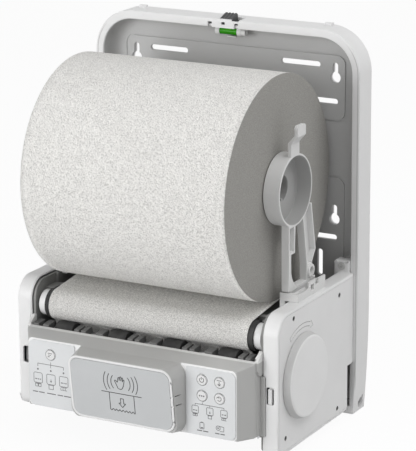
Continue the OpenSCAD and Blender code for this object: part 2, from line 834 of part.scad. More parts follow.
// Inner frame: two side plates, deck, floor and back wall, with feet on the tray's floor
module chassis() {
  wall_y = -(rim_d + 5);
  front_y = -(feed_d - 20);
  pins = [[wheel_c, axle_r], [compound_c, gear_pin_r]];
  color(dark_grey) difference() {
    union() {
      along_x(plate_in, plate_out) chassis_side(right_foot_z);
      along_x(-plate_out, -plate_in) chassis_side(left_foot_z);
      box([-plate_in - over, front_y, deck_z], [plate_in + over, wall_y, deck_z + plate_t]);
      box([-plate_in - over, -feed_d + 12, left_foot_z], [plate_in + over, wall_y, chassis_floor_z]);
      box([-plate_in - over, wall_y - plate_t, left_foot_z], [plate_in + over, wall_y, deck_z + plate_t]);
      for (s = [-1, 1]) for (z = [left_foot_z + 12, deck_z - 10])
        rod_y(wall_y - over, -floor_d - panel_h, [s * 80, z], foot_boss_r);
      for (c = cover_screws) rod_x(plate_out - over, cover_in, c, pillar_r);
      box([-plate_in - over, front_y + 1, deck_z], [-plate_in + 2.4, front_y + 4, mech_top - 3]);
      for (p = pins) rod_x(plate_out - over, plate_out + 2.8, p[0], p[1] + 2);
    }
    for (c = cover_screws) rod_x(plate_out + 1, cover_in + 1, c, screw_r);
    for (p = pins) rod_x(plate_in - 1, plate_out + 4, p[0], p[1]);
    rod_x(-plate_out - 1, plate_out + 1, feed_c, feed_shaft_r + 3);
    rod_x(plate_in - 1, plate_out + 1, motor_c, 4);
    battery_hatch();
  }
}

module chassis_side(foot) {
  d = plate_inset;
  difference() {
    rounded([-mech_d + d, foot + d], [back_y - d, mech_top - d],
      [small_corner_r, small_corner_r, small_corner_r, mech_corner_r - d]);
    hinge_arm_gap();
  }
}

// Opening in the chassis floor below the cells
module battery_hatch() {
  inset = battery_ledge;
  box([battery_x + box_t + inset, -battery_back - box_t - battery_in[1] + inset, left_foot_z - 1],
      [battery_x + box_t + battery_in[0] - inset, -battery_back - box_t - inset, chassis_floor_z + 1]);
}

// Gear outline with involute flanks, a tooth centred on the first axis
function flank(r, base, half) = let (a = acos(min(1, base / r))) half - (tan(a) * 180 / PI - a);
function tooth(teeth, centre) = let (
  pitch = gear_m * teeth / 2,
  base = pitch * cos(20),
  root = pitch - 1.25 * gear_m,
  low = max(base, root + 0.01),
  tip = pitch + 0.95 * gear_m,
  half = 90 / teeth - gear_play / 4 / pitch * 180 / PI + tan(20) * 180 / PI - 20,
  rs = [root, low, pitch, tip]
) concat(
  [for (r = rs) let (a = centre - flank(max(r, low), base, half)) r * [cos(a), sin(a)]],
  [for (i = [3:-1:0]) let (a = centre + flank(max(rs[i], low), base, half)) rs[i] * [cos(a), sin(a)]]
);

module gear_outline(teeth, turn) {
  rotate(turn) polygon([for (i = [0:teeth - 1]) for (p = tooth(teeth, i * 360 / teeth)) p]);
}

module gear(teeth, turn, c, layer, bore) {
  along_x(layer[0], layer[1]) translate(c) difference() {
    gear_outline(teeth, turn);
    circle(bore);
  }
}

module wheel_gear() {
  rim_r = gear_m * wheel_teeth / 2 - 4.5;
  color(white) difference() {
    gear(wheel_teeth, wheel_turn, wheel_c, high_layer, axle_r + run_gap);
    for (i = [0:5]) rod_x(high_layer[0] - 1, high_layer[1] + 1,
      wheel_c + (rim_r + wheel_hub_r) / 2 * [cos(60 * i), sin(60 * i)], (rim_r - wheel_hub_r) / 2 - 4);
  }
}

// Hand wheel: a low drum with a rounded edge on a hub that passes through the gear cover
module hand_wheel() {
  foot = mech_half + move_gap;
  edge_r = 2.4;
  side = [wheel_face_r, wheel_h];
  color(white) translate([0, wheel_c[0], wheel_c[1]]) rotate([0, 90, 0]) difference() {
    union() {
      translate([0, 0, high_layer[1]]) cylinder(h = foot - high_layer[1] + 1, r = wheel_hub_r);
      translate([0, 0, foot]) rotate_extrude() polygon(concat(
        [[0, 0], [wheel_r, 0], [wheel_r - 0.3, 1]],
        [for (a = [10:20:90]) side - [edge_r, edge_r] + edge_r * [cos(a), sin(a)]],
        [[0, wheel_h]]
      ));
    }
    translate([0, 0, high_layer[1] - 1]) cylinder(h = foot + 3 - high_layer[1], r = axle_r + run_gap);
  }
}

module compound_gear() {
  bore = gear_pin_r + run_gap;
  color(white) {
    gear(big_teeth, big_turn, compound_c, low_layer, bore);
    gear(small_teeth, small_turn, compound_c, [low_layer[1] - over, high_layer[1]], bore);
  }
}

module gear_pins() {
  color(steel) {
    rod_x(plate_in, mech_half + 1, wheel_c, axle_r);
    rod_x(plate_in, cover_in - move_gap, compound_c, gear_pin_r);
  }
}

module drive_motor() {
  color(steel) {
    rod_x(plate_in - motor_l, plate_in, motor_c, motor_r);
    rod_x(plate_in - motor_l - 2.5, plate_in - motor_l + over, motor_c, 5);
    for (s = [-1, 1]) translate([plate_in - motor_l - 3, motor_c[0] + s * 8 - 1, motor_c[1] - 0.3])
      cube([3.1, 2, 0.6]);
  }
}

module motor_pinion() {
  color(steel) {
    along_x(low_layer[0], low_layer[1]) translate(motor_c) gear_outline(pinion_teeth, pinion_turn);
    rod_x(plate_in + move_gap, low_layer[0] + over, motor_c, motor_shaft_r);
  }
}

module feed_sleeve() {
  color(black) difference() {
    rod_x(-feed_l / 2, feed_l / 2, feed_c, feed_r);
    rod_x(-feed_l, feed_l, feed_c, feed_shaft_r);
  }
}

module feed_collars() {
  color(white) both_sides() difference() {
    rod_x(feed_l / 2, feed_l / 2 + collar_w, feed_c, collar_r);
    rod_x(0, feed_l, feed_c, feed_shaft_r);
    rod_x(feed_l / 2 + collar_w - 1.5, feed_l, feed_c, collar_r - 2);
  }
}

module feed_shaft() {
  color(steel) rod_x(-plate_out - 1.5, high_layer[1] + 0.4, feed_c, feed_shaft_r);
}

module roller_gear() {
  color(white) {
    gear(roller_teeth, roller_turn, feed_c, high_layer, feed_shaft_r);
    along_x(plate_out + 2, high_layer[0] + over) translate(feed_c) difference() {
      circle(feed_shaft_r + 2.4);
      circle(feed_shaft_r);
    }
  }
}

module roller_bushes() {
  color(pale_grey) both_sides() difference() {
    union() {
      rod_x(plate_in, plate_out + 1, feed_c, feed_shaft_r + 3);
      rod_x(plate_out, plate_out + 1.4, feed_c, feed_shaft_r + 4.2);
    }
    rod_x(0, mech_half, feed_c, feed_shaft_r + run_gap);
  }
}

// Guard strip between the chassis plates, behind the feed roller, with an ear over each end collar
module roller_guard() {
  low = feed_c[1] + sqrt(pow(collar_r, 2) - pow(guard_reach, 2)) + move_gap + seam_gap;
  front = -feed_d + feed_r + 1;
  color(dark_grey) {
    box([-plate_in, front, low], [plate_in, front + guard_d, low + guard_t]);
    both_sides() box([feed_l / 2 + 2 * move_gap, -feed_d + guard_reach, low],
      [plate_in, front + over, low + guard_t]);
  }
}

tyre_x = [for (i = [-1.5:1:1.5]) i * pinch_pitch];

// Comb ribs as [start, end] along X, in shares of the room: three between tyres, two beside each end tyre
tyre_room = pinch_pitch - pinch_w;
end_room = comb_half - tyre_x[3] - pinch_w / 2;
rib_spans = concat(
  [for (i = [0:2]) for (f = [[0.114, 0.250], [0.308, 0.441], [0.719, 0.921]])
    [for (k = f) tyre_x[i] + pinch_w / 2 + k * tyre_room]],
  [for (f = [[0.204, 0.448], [0.550, 0.788]]) [for (k = f) comb_half + (k - 1) * end_room]],
  [for (f = [[0, 0.292], [0.500, 0.792]]) [for (k = f) -comb_half + k * end_room]]
);

module pinch_shaft() {
  color(steel) rod_x(-plate_in + move_gap, plate_in - move_gap, pinch_c, pinch_shaft_r);
}

module pinch_tyres() {
  color(black) for (x = tyre_x) difference() {
    rod_x(x - pinch_w / 2, x + pinch_w / 2, pinch_c, pinch_r);
    rod_x(x - pinch_w, x + pinch_w, pinch_c, pinch_shaft_r);
  }
}

// Guide comb: a plate in front of the web with ribs between the tyres that carry the shaft
module guide_comb() {
  back = web_drop_y - web_t / 2 - guide_gap;
  front = back - guide_t;
  rib_front = -lip_d + 0.4;
  tail = -lip_d - 3;
  shelf = guide_foot_z + comb_shelf_rise;
  rib = [
    [front + over, shelf], [front + over, pinch_c[1] - pinch_r - 1.8],
    [pinch_c[0] + 3.4, pinch_c[1] - 6], [pinch_c[0] + 0.4, pinch_c[1] + 8.4],
    [rib_front, pinch_c[1] + 7.4], [rib_front, pinch_c[1] + 2],
    [tail, pinch_c[1]], [tail, shelf]
  ];
  color(mid_grey) difference() {
    union() {
      box([-plate_in, front, guide_foot_z], [plate_in, back, pinch_c[1] - pinch_r - 1.6]);
      box([-comb_half, tail, shelf], [comb_half, front + over, shelf + guide_t]);
      for (span = rib_spans) along_x(span[0], span[1]) polygon(rib);
    }
    rod_x(-plate_in, plate_in, pinch_c, pinch_shaft_r + run_gap);
  }
}

module chute_plate() {
  front = web_drop_y + web_t / 2 + guide_gap;
  color(mid_grey) along_x(-plate_in, plate_in) polygon([
    [front, chute_foot_z], [front, chute_top_z - 6], [front + 2.5, chute_top_z],
    [front + 2.5 + guide_t, chute_top_z], [front + guide_t, chute_top_z - 6.6],
    [front + guide_t, chute_foot_z]
  ]);
}

// Tear bar: a steel strip below the comb's plate with a saw edge
module tear_bar() {
  back = web_drop_y - web_t / 2 - guide_gap - guide_t;
  half = plate_in - tear_side_gap;
  top = guide_foot_z + tear_rise;
  edge = guide_foot_z - tear_drop;
  teeth = floor(2 * half / tear_pitch);
  saw = [for (i = [0:teeth - 1]) for (p = [[0, 0], [0.5, -tear_tooth]])
    [half - (i + p[0]) * tear_pitch, edge + p[1]]];
  color(steel) along_y(back - tear_t, back) polygon(concat(
    [[-half, top], [half, top]], saw, [[half - teeth * tear_pitch, edge]]));
}

// Middle line of the web in the Y and Z axes: off the roll, over the feed roller, behind the pinch roller
function polar(c, r, a) = c + r * [cos(a), sin(a)];
roll_to_feed = feed_c - roll_c;
leave_angle = atan2(roll_to_feed[1], roll_to_feed[0]) + 360
  + acos((roll_path_r + feed_path_r) / norm(roll_to_feed));
web_wrap = 24;
// Points of the web's side at distance d from its middle line
function web_side(d) = concat(
  [for (i = [0:4]) polar(roll_c, roll_path_r + d, leave_angle + web_wrap * (1 - i / 4))],
  [for (i = [0:12]) let (a = leave_angle - 180)
    polar(feed_c, feed_path_r - d, a + (nip_angle - a) * i / 12)],
  [for (i = [1:5]) polar(pinch_c, pinch_path_r + d, (nip_angle - 180) * (1 - i / 5))],
  [[web_drop_y + d, web_end_z]]
);

module towel_web() {
  outer = web_side(web_t / 2);
  inner = web_side(-web_t / 2);
  half = roll_l / 2 - 0.4;
  color(paper) along_x(-half, half)
    polygon(concat(outer, [for (i = [len(inner) - 1:-1:0]) inner[i]]));
}

module towel_roll() {
  color(paper) difference() {
    rod_x(-roll_l / 2, roll_l / 2, roll_c, roll_r);
    rod_x(-roll_l, roll_l, roll_c, core_r + core_t);
  }
}

module roll_core() {
  color([0.62, 0.50, 0.38]) difference() {
    rod_x(-roll_l / 2, roll_l / 2, roll_c, core_r + core_t);
    rod_x(-roll_l, roll_l, roll_c, core_r);
  }
}

// Right arm: hub cup with a tapered spigot, front leg, rear channel leg, pocket and thumb tab
module roll_arm() {
  cup_low = roll_z - cup_r;
  pocket = [[-base_front + 1, cup_low - pocket_h], [-base_front + 13.4, cup_low + 2]];
  tab_z0 = roll_z + cup_r - 4;
  tab_in = arm_out_x - tab_t;
  tab_y0 = -roll_d - 9;
  barrel_y = [-base_front + base_wall + move_gap, -base_back - base_wall - move_gap];
  color(pale_grey) difference() {
    union() {
      rod_x(cup_floor_x, arm_out_x, roll_c, cup_r);
      spigot();
      along_x(arm_in_x, arm_out_x) arm_outline(pocket, 0);
      rod_y(barrel_y[0], barrel_y[1], [pivot_x, pivot_z], barrel_r);
      box([pivot_x - barrel_r, barrel_y[0], pivot_z], [pivot_x + barrel_r, barrel_y[1], foot_z + 1]);
      rod_x(arm_in_x, arm_out_x + 1.6, lug_c, lug_r);
      along_y(tab_y0, tab_y0 + tab_w) polygon([
        [tab_in, tab_z0], [arm_out_x, tab_z0], [arm_out_x, tab_z0 + 14],
        [arm_out_x + tab_bend, tab_z0 + 21], [arm_out_x + tab_bend, tab_z0 + 31],
        [tab_in + tab_bend, tab_z0 + 31], [tab_in + tab_bend, tab_z0 + 22], [tab_in, tab_z0 + 15]
      ]);
    }
    rod_x(cup_floor_x + arm_t, arm_out_x + 1, roll_c, cup_r - arm_t);
    rod_x(0, mech_half, roll_c, spigot_bore_r);
    along_x(arm_in_x + arm_t, arm_out_x + 1) arm_outline(pocket, arm_t);
    rod_x(arm_out_x - 2, arm_out_x + 4, lug_c, lug_r - 2.2);
    rod_y(-base_front, -base_back, [pivot_x, pivot_z], arm_pin_r + run_gap);
    tab_corners(tab_y0, tab_z0 + 31);
  }
  color(pale_grey) box([cup_floor_x, -roll_d - 1.2, roll_z - spigot_bore_r - over],
    [cup_floor_x + arm_t, -roll_d + 1.2, roll_z - spigot_bore_r + 2.6]);
}

// What the thumb tab loses at its two round top corners
module tab_corners(y0, top) {
  r = tab_w / 4;
  along_x(arm_out_x, arm_out_x + tab_bend + 1) difference() {
    translate([y0 - 1, top - r]) square([tab_w + 2, r + 1]);
    even_rounded([y0, top - 4 * r], [y0 + tab_w, top], r);
  }
}

module spigot() {
  translate([cup_floor_x + over, roll_c[0], roll_c[1]]) rotate([0, -90, 0])
    cylinder(h = spigot_l + over, r1 = core_r - move_gap, r2 = core_r - move_gap - spigot_draw);
}

// Outline of the legs in the Y and Z axes; d > 0 gives the hollows inside the pocket and the rear leg
module arm_outline(pocket, d) {
  front = -base_front + 1;
  translate(pocket[0] + [d, d]) square(pocket[1] - pocket[0] - 2 * [d, d]);
  if (d == 0) {
    translate([front, foot_z]) square([leg_t, roll_z - foot_z - 20]);
    difference() {
      translate([front, foot_z]) square([leg_t + flare_r, flare_r]);
      translate([front + leg_t + flare_r, foot_z + flare_r]) circle(flare_r);
    }
    translate([front, foot_z]) square([base_front - base_back - 2, 2]);
  }
  difference() {
    polygon(concat([for (p = rear_edge) p + [d - roll_d, 0]], [for (p = rear_back) p - [d + roll_d, 0]]));
    if (d > 0) {
      translate(roll_c) circle(cup_r);
      translate([-roll_d, foot_z - over]) square([cup_r + 20, 8 * d]);
    }
  }
}

module right_roll_arm() {
  roll_arm();
}

module left_roll_arm() {
  mirror([1, 0, 0]) roll_arm();
}

// Arm base: a box on the housing whose end walls hold the pivot pin, with a lip inside the housing
module arm_base() {
  top = mech_top + base_h;
  wall_in = base_out_x - 6.4;
  clip = [-roll_d + 8, -roll_d + 20];
  color(pale_grey) difference() {
    union() {
      box([base_in_x, -base_front, mech_top], [base_out_x, -base_back, top]);
      box([base_in_x, -base_front, mech_top - 6], [plate_in - seam_gap, -base_back, mech_top + over]);
      box([base_out_x - 2, clip[0], top - over], [base_out_x, clip[1], top + 5.5]);
      box([base_out_x - 2, clip[1] + 6, top - over], [base_out_x, -base_back, top + 4.5]);
    }
    box([base_in_x + 1.2, -base_front + base_wall, mech_top + 0.4],
        [wall_in, -base_back - base_wall, top + 1]);
    rod_y(-base_front + 1.5, -base_back - 1.5, [pivot_x, pivot_z], arm_pin_r);
    box([wall_in - 1, clip[0] + 3, mech_top + 4], [base_out_x + 1, clip[1] - 3, top + 2.5]);
    box([wall_in + 3, -base_front + base_wall, top - 2], [base_out_x - 2, -base_back - base_wall, top + 4]);
  }
}

module right_arm_base() {
  arm_base();
}

module left_arm_base() {
  mirror([1, 0, 0]) arm_base();
}

module arm_pins() {
  color(steel) both_sides()
    rod_y(-base_front + 1.5, -base_back - 1.5, [pivot_x, pivot_z], arm_pin_r);
}

// Body of the front panel, set in by t: its plan, cut by its side outline
module panel_body(t) {
  half = panel_side - t;
  intersection() {
    translate([0, 0, panel_z + t]) linear_extrude(lip_z - panel_z + 20) polygon([
      [flat_half - t, -label_d + t], [flat_half + panel_slant_w - t, -label_d + 14], [half, -label_d + 25],
      [half, -panel_back + t], [-half, -panel_back + t], [-half, -label_d + 25],
      [-flat_half - panel_slant_w + t, -label_d + 14], [-flat_half + t, -label_d + t]
    ]);
    along_x(-mech_half, mech_half) polygon([
      [-lip_d + t, panel_z + t], [-lip_d + t, lip_z - t],
      [-label_d + t, front_top_z - t], [-label_d + t, panel_z + t]
    ]);
  }
}

// Sensor box in front of the panel, set in by t: side outline, cut to a block that flares to its root
module sensor_box(t) {
  half = box_w / 2 - t;
  root = box_root_w / 2 - t;
  flare = root - half;
  r = box_corner_r - t / 2;
  face_top = front_top_z - box_top_fall - t;
  face_foot = box_foot_z + t;
  function face_y(z) = -box_d + t - (z - box_z) * tan(box_tilt);
  back = -label_d + (t > 0 ? panel_t + over : 0);
  front = -box_d - 4;
  low = face_foot + r;
  high = face_top - r;
  intersection() {
    along_x(-root, root) polygon([
      [back, front_top_z - t], [face_y(face_top), face_top], [face_y(face_foot), face_foot],
      [back, panel_z + t]
    ]);
    union() {
      for (s = [-1, 1]) for (z = [low, high]) translate([s * (half - r), back, z]) rotate([90, 0, 0])
        cylinder(h = back - front, r1 = r + flare, r2 = r);
      translate([0, 0, low]) linear_extrude(high - low) polygon([
        [root, back], [half, front], [-half, front], [-root, back]
      ]);
      along_x(r - half, half - r) polygon([
        [back, low - r - flare], [front, low - r], [front, high + r], [back, high + r + flare]
      ]);
    }
  }
}

// Places a shape that lies in X and Z on the sensor box's tilted face
module on_box_face() {
  translate([0, -box_d, box_z]) rotate([box_tilt, 0, 0]) children();
}

key_x = label_inner + button_in;
key_z = front_top_z - button_drop;
button_places = [
  [-label_inner - left_button_in, key_z - 1.4], [key_x, key_z], [key_x + button_dx, key_z],
  [key_x, key_z - button_dz], [key_x + button_dx, key_z - button_dz]
];

module button_holes() {
  for (p = button_places) rod_y(-label_d - 3, -label_d + panel_t + 1, p, button_r + move_gap);
}

module fascia() {
  color(mid_grey) difference() {
    union() {
      panel_body(0);
      sensor_box(0);
      both_sides() {
        along_x(panel_side - panel_t, panel_side)
          translate([-lip_d - 1, panel_z]) square([lip_d + 1 - panel_back, ear_low - panel_z + 6]);
        along_x(panel_side - panel_t, strip_in - seam_gap) {
          polygon([[-lip_d - 2, ear_low + 3], [-lip_d - 2, lip_z + 0.2], [-mech_d - move_gap, ear_z],
            [-panel_back, ear_z], [-panel_back, ear_low + 3]]);
          translate([-panel_back - 4.6, ear_low + 3]) circle(4.6);
        }
        along_y(-mech_d - 1, -mech_d - seam_gap)
          even_rounded([panel_side - panel_t, panel_z - 1.5], [strip_in + 2.9, ear_low - 2.4], 1.4);
        for (z = [panel_z + 8, front_top_z - 10])
          rod_y(-label_d + panel_t - over, -board_front, [box_root_w / 2 + 4, z], 3);
      }
    }
    panel_body(panel_t);
    box([-plate_in + 1, -lip_d + over, panel_z + panel_t], [plate_in - 1, -panel_back + 1, ear_z + 1]);
    sensor_box(panel_t);
    button_holes();
    on_box_face() {
      box([-6, -over - 1, -7], [6, panel_t + 2, 7]);
      for (z = clip_slots) box([box_w / 2 - 3, 1.2, z - 0.5], [box_root_w, 9, z + 0.5]);
      box([-box_root_w, 2, -5], [-box_w / 2 + 2.6, 6, 5]);
    }
  }
}

module label_plate(s) {
  x0 = s > 0 ? label_inner : -label_inner - label_w;
  color(pale_grey) difference() {
    along_y(-label_d - label_t, -label_d) rounded([x0, label_z0], [x0 + label_w, label_z0 + label_h],
      s > 0 ? [1, label_r, label_r, 1] : [label_r, 1, 1, label_r]);
    button_holes();
  }
}

module left_label() {
  label_plate(-1);
}

module right_label() {
  label_plate(1);
}

face_half = [box_w / 2, box_h / 2];

// White frame on the sensor box's face, round the sensor plate
module sensor_bezel() {
  inner = face_half - [bezel_w, bezel_w];
  color(white) on_box_face() along_y(-label_t, 0) difference() {
    even_rounded(-face_half, face_half, box_corner_r);
    even_rounded(-inner, inner, box_corner_r - bezel_w);
    for (z = clip_slots) translate([inner[0] - over, z - 0.5]) square([bezel_w + 2 * over, 1]);
  }
  color(white) on_box_face() for (z = clip_slots)
    box([inner[0], -0.3, z - 0.5 - over], [face_half[0], 0, z + 0.5 + over]);
}

module sensor_plate() {
  inset = bezel_w + seam_gap;
  half = face_half - [inset, inset];
  color(pale_grey) on_box_face() difference() {
    along_y(-label_t, 0) even_rounded(-half, half, box_corner_r - inset);
    along_y(-0.6, 1) even_rounded([-5, -6], [5, 6], 2);
  }
}

module push_button(i) {
  p = button_places[i];
  front = -label_d - label_t - button_rise;
  stem_end = -board_front - 2.2 - button_travel;
  color(white) {
    rod_y(front, -label_d + panel_t - 0.4, p, button_r);
    rod_y(-label_d + panel_t - 0.5, stem_end, p, 1.8);
  }
}

module length_button() {
  push_button(0);
}

module power_button() {
  push_button(1);
}

module feed_button() {
  push_button(2);
}

module mode_button() {
  push_button(3);
}

module return_button() {
  push_button(4);
}

// Control board behind the front panel, with a key switch behind each button
module control_board() {
  half = flat_half - board_side_gap;
  color(board_green) {
    box([-half, -board_front, panel_z + board_foot_gap],
        [half, -board_front + board_t, front_top_z - board_top_gap]);
    box([-30, -board_front + board_t - over, panel_z + 8], [-8, -board_front + board_t + 4, panel_z + 20]);
  }
  color(black) for (p = button_places) {
    box([p[0] - 3, -board_front - 1.4, p[1] - 3], [p[0] + 3, -board_front + over, p[1] + 3]);
    rod_y(-board_front - 1.9, -board_front - 1.4 + over, p, 1.6);
  }
}

// Hand sensor: a carrier in the sensor box with two lenses behind the plate's window
module hand_sensor() {
  color(black) on_box_face() {
    along_y(-0.5, 0.5) even_rounded([-4.6, -5.6], [4.6, 5.6], 1.8);
    box([-5.6, 0.4, -6.6], [5.6, panel_t + 8, 6.6]);
    box([-12, panel_t, -10], [12, panel_t + 2, 10]);
    for (z = [-3, 3]) rod_y(-0.58, 0, [0, z], 2.2);
  }
}

module battery_box() {
  x1 = battery_x + 2 * box_t + battery_in[0];
  y1 = -battery_back;
  y0 = y1 - 2 * box_t - battery_in[1];
  color(dark_grey) difference() {
    box([battery_x, y0, chassis_floor_z], [x1, y1, battery_z + battery_in[2] + box_t]);
    box([battery_x + box_t, y0 + box_t, chassis_floor_z - 1],
        [x1 - box_t, y1 - box_t, battery_z + battery_in[2]]);
  }
}

function cell_c(i) = [-battery_back - box_t - battery_gap - cell_dia / 2 - i * (cell_dia + battery_gap),
  battery_z + battery_gap / 2 + cell_dia / 2];

module battery_cells() {
  color(dark_grey) for (i = [0, 1]) for (k = [0, 1]) {
    x = battery_x + box_t + 2 + k * (cell_l + 1);
    rod_x(x, x + cell_l - 1.5, cell_c(i), cell_dia / 2);
    rod_x(x + cell_l - 1.6, x + cell_l, cell_c(i), 4.5);
  }
}

module battery_contacts() {
  color(steel) for (i = [0, 1]) for (x = [battery_x + box_t, battery_x + box_t + battery_in[0] - 0.8])
    along_x(x, x + 0.8) even_rounded(cell_c(i) - contact_half, cell_c(i) + contact_half, 2);
}

module battery_lid() {
  inset = battery_ledge + move_gap;
  x0 = battery_x + box_t;
  y1 = -battery_back - box_t;
  color(dark_grey) {
    box([x0 + inset, y1 - battery_in[1] + inset, left_foot_z],
        [x0 + battery_in[0] - inset, y1 - inset, chassis_floor_z]);
    box([x0 + move_gap, y1 - battery_in[1] + move_gap, chassis_floor_z],
        [x0 + battery_in[0] - move_gap, y1 - move_gap, chassis_floor_z + 1.6]);
  }
}

// Cover switch: the closed cover presses the tongue onto a switch on the chassis
tongue_x = [strip_in + 4.9, strip_in + 8.5];
tongue_back = -mech_d + shell_t + 0.4;

module switch_tongue() {
  color(white) {
    along_x(tongue_x[0], tongue_x[1]) rounded([-mech_d + 0.3, window_z + move_gap],
      [tongue_back, window_z + window_h - 1.4], [0, 0, 0, 1.5]);
    box([tongue_x[0], tongue_back - over, window_z - 1.5],
        [tongue_x[1], tongue_back + 0.8, window_z + window_h + 1.5]);
  }
}

module cover_switch() {
  front = tongue_back + 0.8 + 1.8;
  z = window_z + window_h / 2;
  color(black) {
    box([plate_out, front, z - 6.5], [plate_out + 5.6, front + 6, z + 6.5]);
    box([tongue_x[0], front - 0.2, z - 1], [plate_out + 5.6, front + over, z + 1]);
  }
}

back_tray();
level_holder();
level_vial();
cover_latch();
chassis();
left_housing();
right_housing();
gear_cover();
gear_cover_screws();
module_screws();
hand_wheel();
wheel_gear();
compound_gear();
gear_pins();
drive_motor();
motor_pinion();
feed_sleeve();
feed_collars();
feed_shaft();
roller_gear();
roller_bushes();
pinch_shaft();
pinch_tyres();
guide_comb();
chute_plate();
tear_bar();
towel_web();
towel_roll();
roll_core();
right_roll_arm();
left_roll_arm();
right_arm_base();
left_arm_base();
arm_pins();
fascia();
sensor_bezel();
sensor_plate();
left_label();
right_label();
control_board();
hand_sensor();
battery_box();
battery_cells();
battery_contacts();
battery_lid();
power_button();
feed_button();
mode_button();
return_button();
length_button();
switch_tongue();
cover_catch();
roller_guard();
cover_switch();
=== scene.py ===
import json
import math

import bmesh
import bpy
import numpy as np
from mathutils import Matrix, Vector


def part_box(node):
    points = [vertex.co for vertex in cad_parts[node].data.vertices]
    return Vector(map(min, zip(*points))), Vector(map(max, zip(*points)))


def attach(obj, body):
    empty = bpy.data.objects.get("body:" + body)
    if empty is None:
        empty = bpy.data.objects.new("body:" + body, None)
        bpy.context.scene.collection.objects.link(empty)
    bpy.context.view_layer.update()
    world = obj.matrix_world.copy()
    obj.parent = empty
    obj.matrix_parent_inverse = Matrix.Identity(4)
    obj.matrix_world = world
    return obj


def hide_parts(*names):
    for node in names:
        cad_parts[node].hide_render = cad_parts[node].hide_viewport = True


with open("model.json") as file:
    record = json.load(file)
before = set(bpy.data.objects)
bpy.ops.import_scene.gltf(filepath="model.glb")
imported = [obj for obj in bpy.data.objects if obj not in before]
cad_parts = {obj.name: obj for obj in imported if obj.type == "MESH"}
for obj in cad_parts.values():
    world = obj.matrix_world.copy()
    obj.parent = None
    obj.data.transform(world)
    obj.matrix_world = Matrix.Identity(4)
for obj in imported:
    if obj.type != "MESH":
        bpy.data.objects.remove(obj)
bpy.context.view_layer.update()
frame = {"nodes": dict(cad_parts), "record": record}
nodes = frame["nodes"]
bodyOf = {n: body for body, group in frame["record"]["behaviour"]["bodies"].items() for n in group}
scene = bpy.context.scene
scene.view_settings.view_transform = "Standard"
print("frame loaded:", len(nodes), "nodes")


def axisOf(node):  # depth and height of the middle of a round piece that lies across the dispenser
    low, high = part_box(node)
    return tuple(round((low[k] + high[k]) / 2, 6) for k in (1, 2))


rollAxis = axisOf("towel_roll")
keyNames = ("power", "feed", "mode", "return", "length")
sides = ("right", "left")

# camera: stands right of the front, far off, and looks a little down
cameraSet = {
    "target": (0.032693, -0.1, 0.194543),
    "azimuth": 28.335,
    "elevation": 15.547,
    "roll": -0.326,
    "distance": 2.179783,
    "focalPixels": 2466.94,
    "framePixels": (416, 451),
    "centrePixels": (9.245, -9.430),  # how far the lens axis lies right of and below the middle
    "sensor": 36.0,
    "clip": (0.05, 50.0),
}


def makeCamera(s):
    az, el, roll = (math.radians(s[k]) for k in ("azimuth", "elevation", "roll"))
    back = Vector((math.sin(az) * math.cos(el), -math.cos(az) * math.cos(el), math.sin(el)))
    right = Vector((math.cos(az), math.sin(az), 0))
    up = back.cross(right)
    across = right * math.cos(roll) + up * math.sin(roll)
    upward = up * math.cos(roll) - right * math.sin(roll)
    longSide = max(s["framePixels"])
    data = bpy.data.cameras.new("camera")
    data.sensor_width = s["sensor"]
    data.lens = s["focalPixels"] / longSide * data.sensor_width
    data.shift_x = -s["centrePixels"][0] / longSide
    data.shift_y = s["centrePixels"][1] / longSide
    data.clip_start, data.clip_end = s["clip"]
    obj = bpy.data.objects.new("camera", data)
    place = Matrix([list(row) for row in zip(across, upward, back)]).to_4x4()
    place.translation = Vector(s["target"]) + back * s["distance"]
    obj.matrix_world = place
    scene.collection.objects.link(obj)
    scene.camera = obj


makeCamera(cameraSet)


class Val:
    # one socket of a node tree; sums, products and powers on it add Math nodes
    def __init__(self, tree, socket=None):
        self.tree, self.socket = tree, socket

    def add(self, kind, settings, links, out=0):
        node = self.tree.nodes.new(kind)
        for key, value in settings.items():
            setattr(node, key, value)
        for key, value in links.items():
            if isinstance(value, Val):
                self.tree.links.new(value.socket, node.inputs[key])
            else:
                node.inputs[key].default_value = value
        return Val(self.tree, node.outputs[out] if node.outputs else None)

    def calc(self, operation, *values):
        return self.add("ShaderNodeMath", {"operation": operation}, dict(enumerate(values)))

    def __add__(self, other):
        return self.calc("ADD", self, other)

    def __sub__(self, other):
        return self.calc("SUBTRACT", self, other)

    def __rsub__(self, other):
        return self.calc("SUBTRACT", other, self)

    def __mul__(self, other):
        return self.calc("MULTIPLY", self, other)

    def __pow__(self, other):
        return self.calc("POWER", self, other)

    __radd__ = __add__

    def __abs__(self):
        return self.calc("ABSOLUTE", self)

    def part(self, axis):  # one of the X, Y and Z of a place
        return self.add("ShaderNodeSeparateXYZ", {}, {"Vector": self}, axis)

    def ramp(self, low, high):  # smooth climb from 0 at low to 1 at high
        return self.add("ShaderNodeMapRange", {"interpolation_type": "SMOOTHSTEP"},
                        {"Value": self, "From Min": low, "From Max": high})

    def beyond(self, edge):  # how far this value lies past an edge, 0 before it
        return self.calc("MAXIMUM", self - edge, 0.0)

    def noise(self, scale, detail=2.0, rough=0.5):
        return self.add("ShaderNodeTexNoise", {}, {"Vector": self, "Scale": scale, "Detail": detail,
                                                   "Roughness": rough})

    def mix(self, first, second):  # from the first colour to the second by this factor
        colours = [c if isinstance(c, Val) else (*c, 1) for c in (first, second)]
        return self.add("ShaderNodeMix", {"data_type": "RGBA"}, {0: self, 6: colours[0], 7: colours[1]}, 2)


def shade(colour, share):
    return tuple(v * share for v in colour)


def distance(first, second):
    return (first * first + second * second) ** 0.5


def newMaterial(name):
    material = bpy.data.materials.new(name)
    material.use_nodes = True
    material.node_tree.nodes.clear()
    make = Val(material.node_tree)
    return material, make, make.add("ShaderNodeTexCoord", {}, {}, "Object")


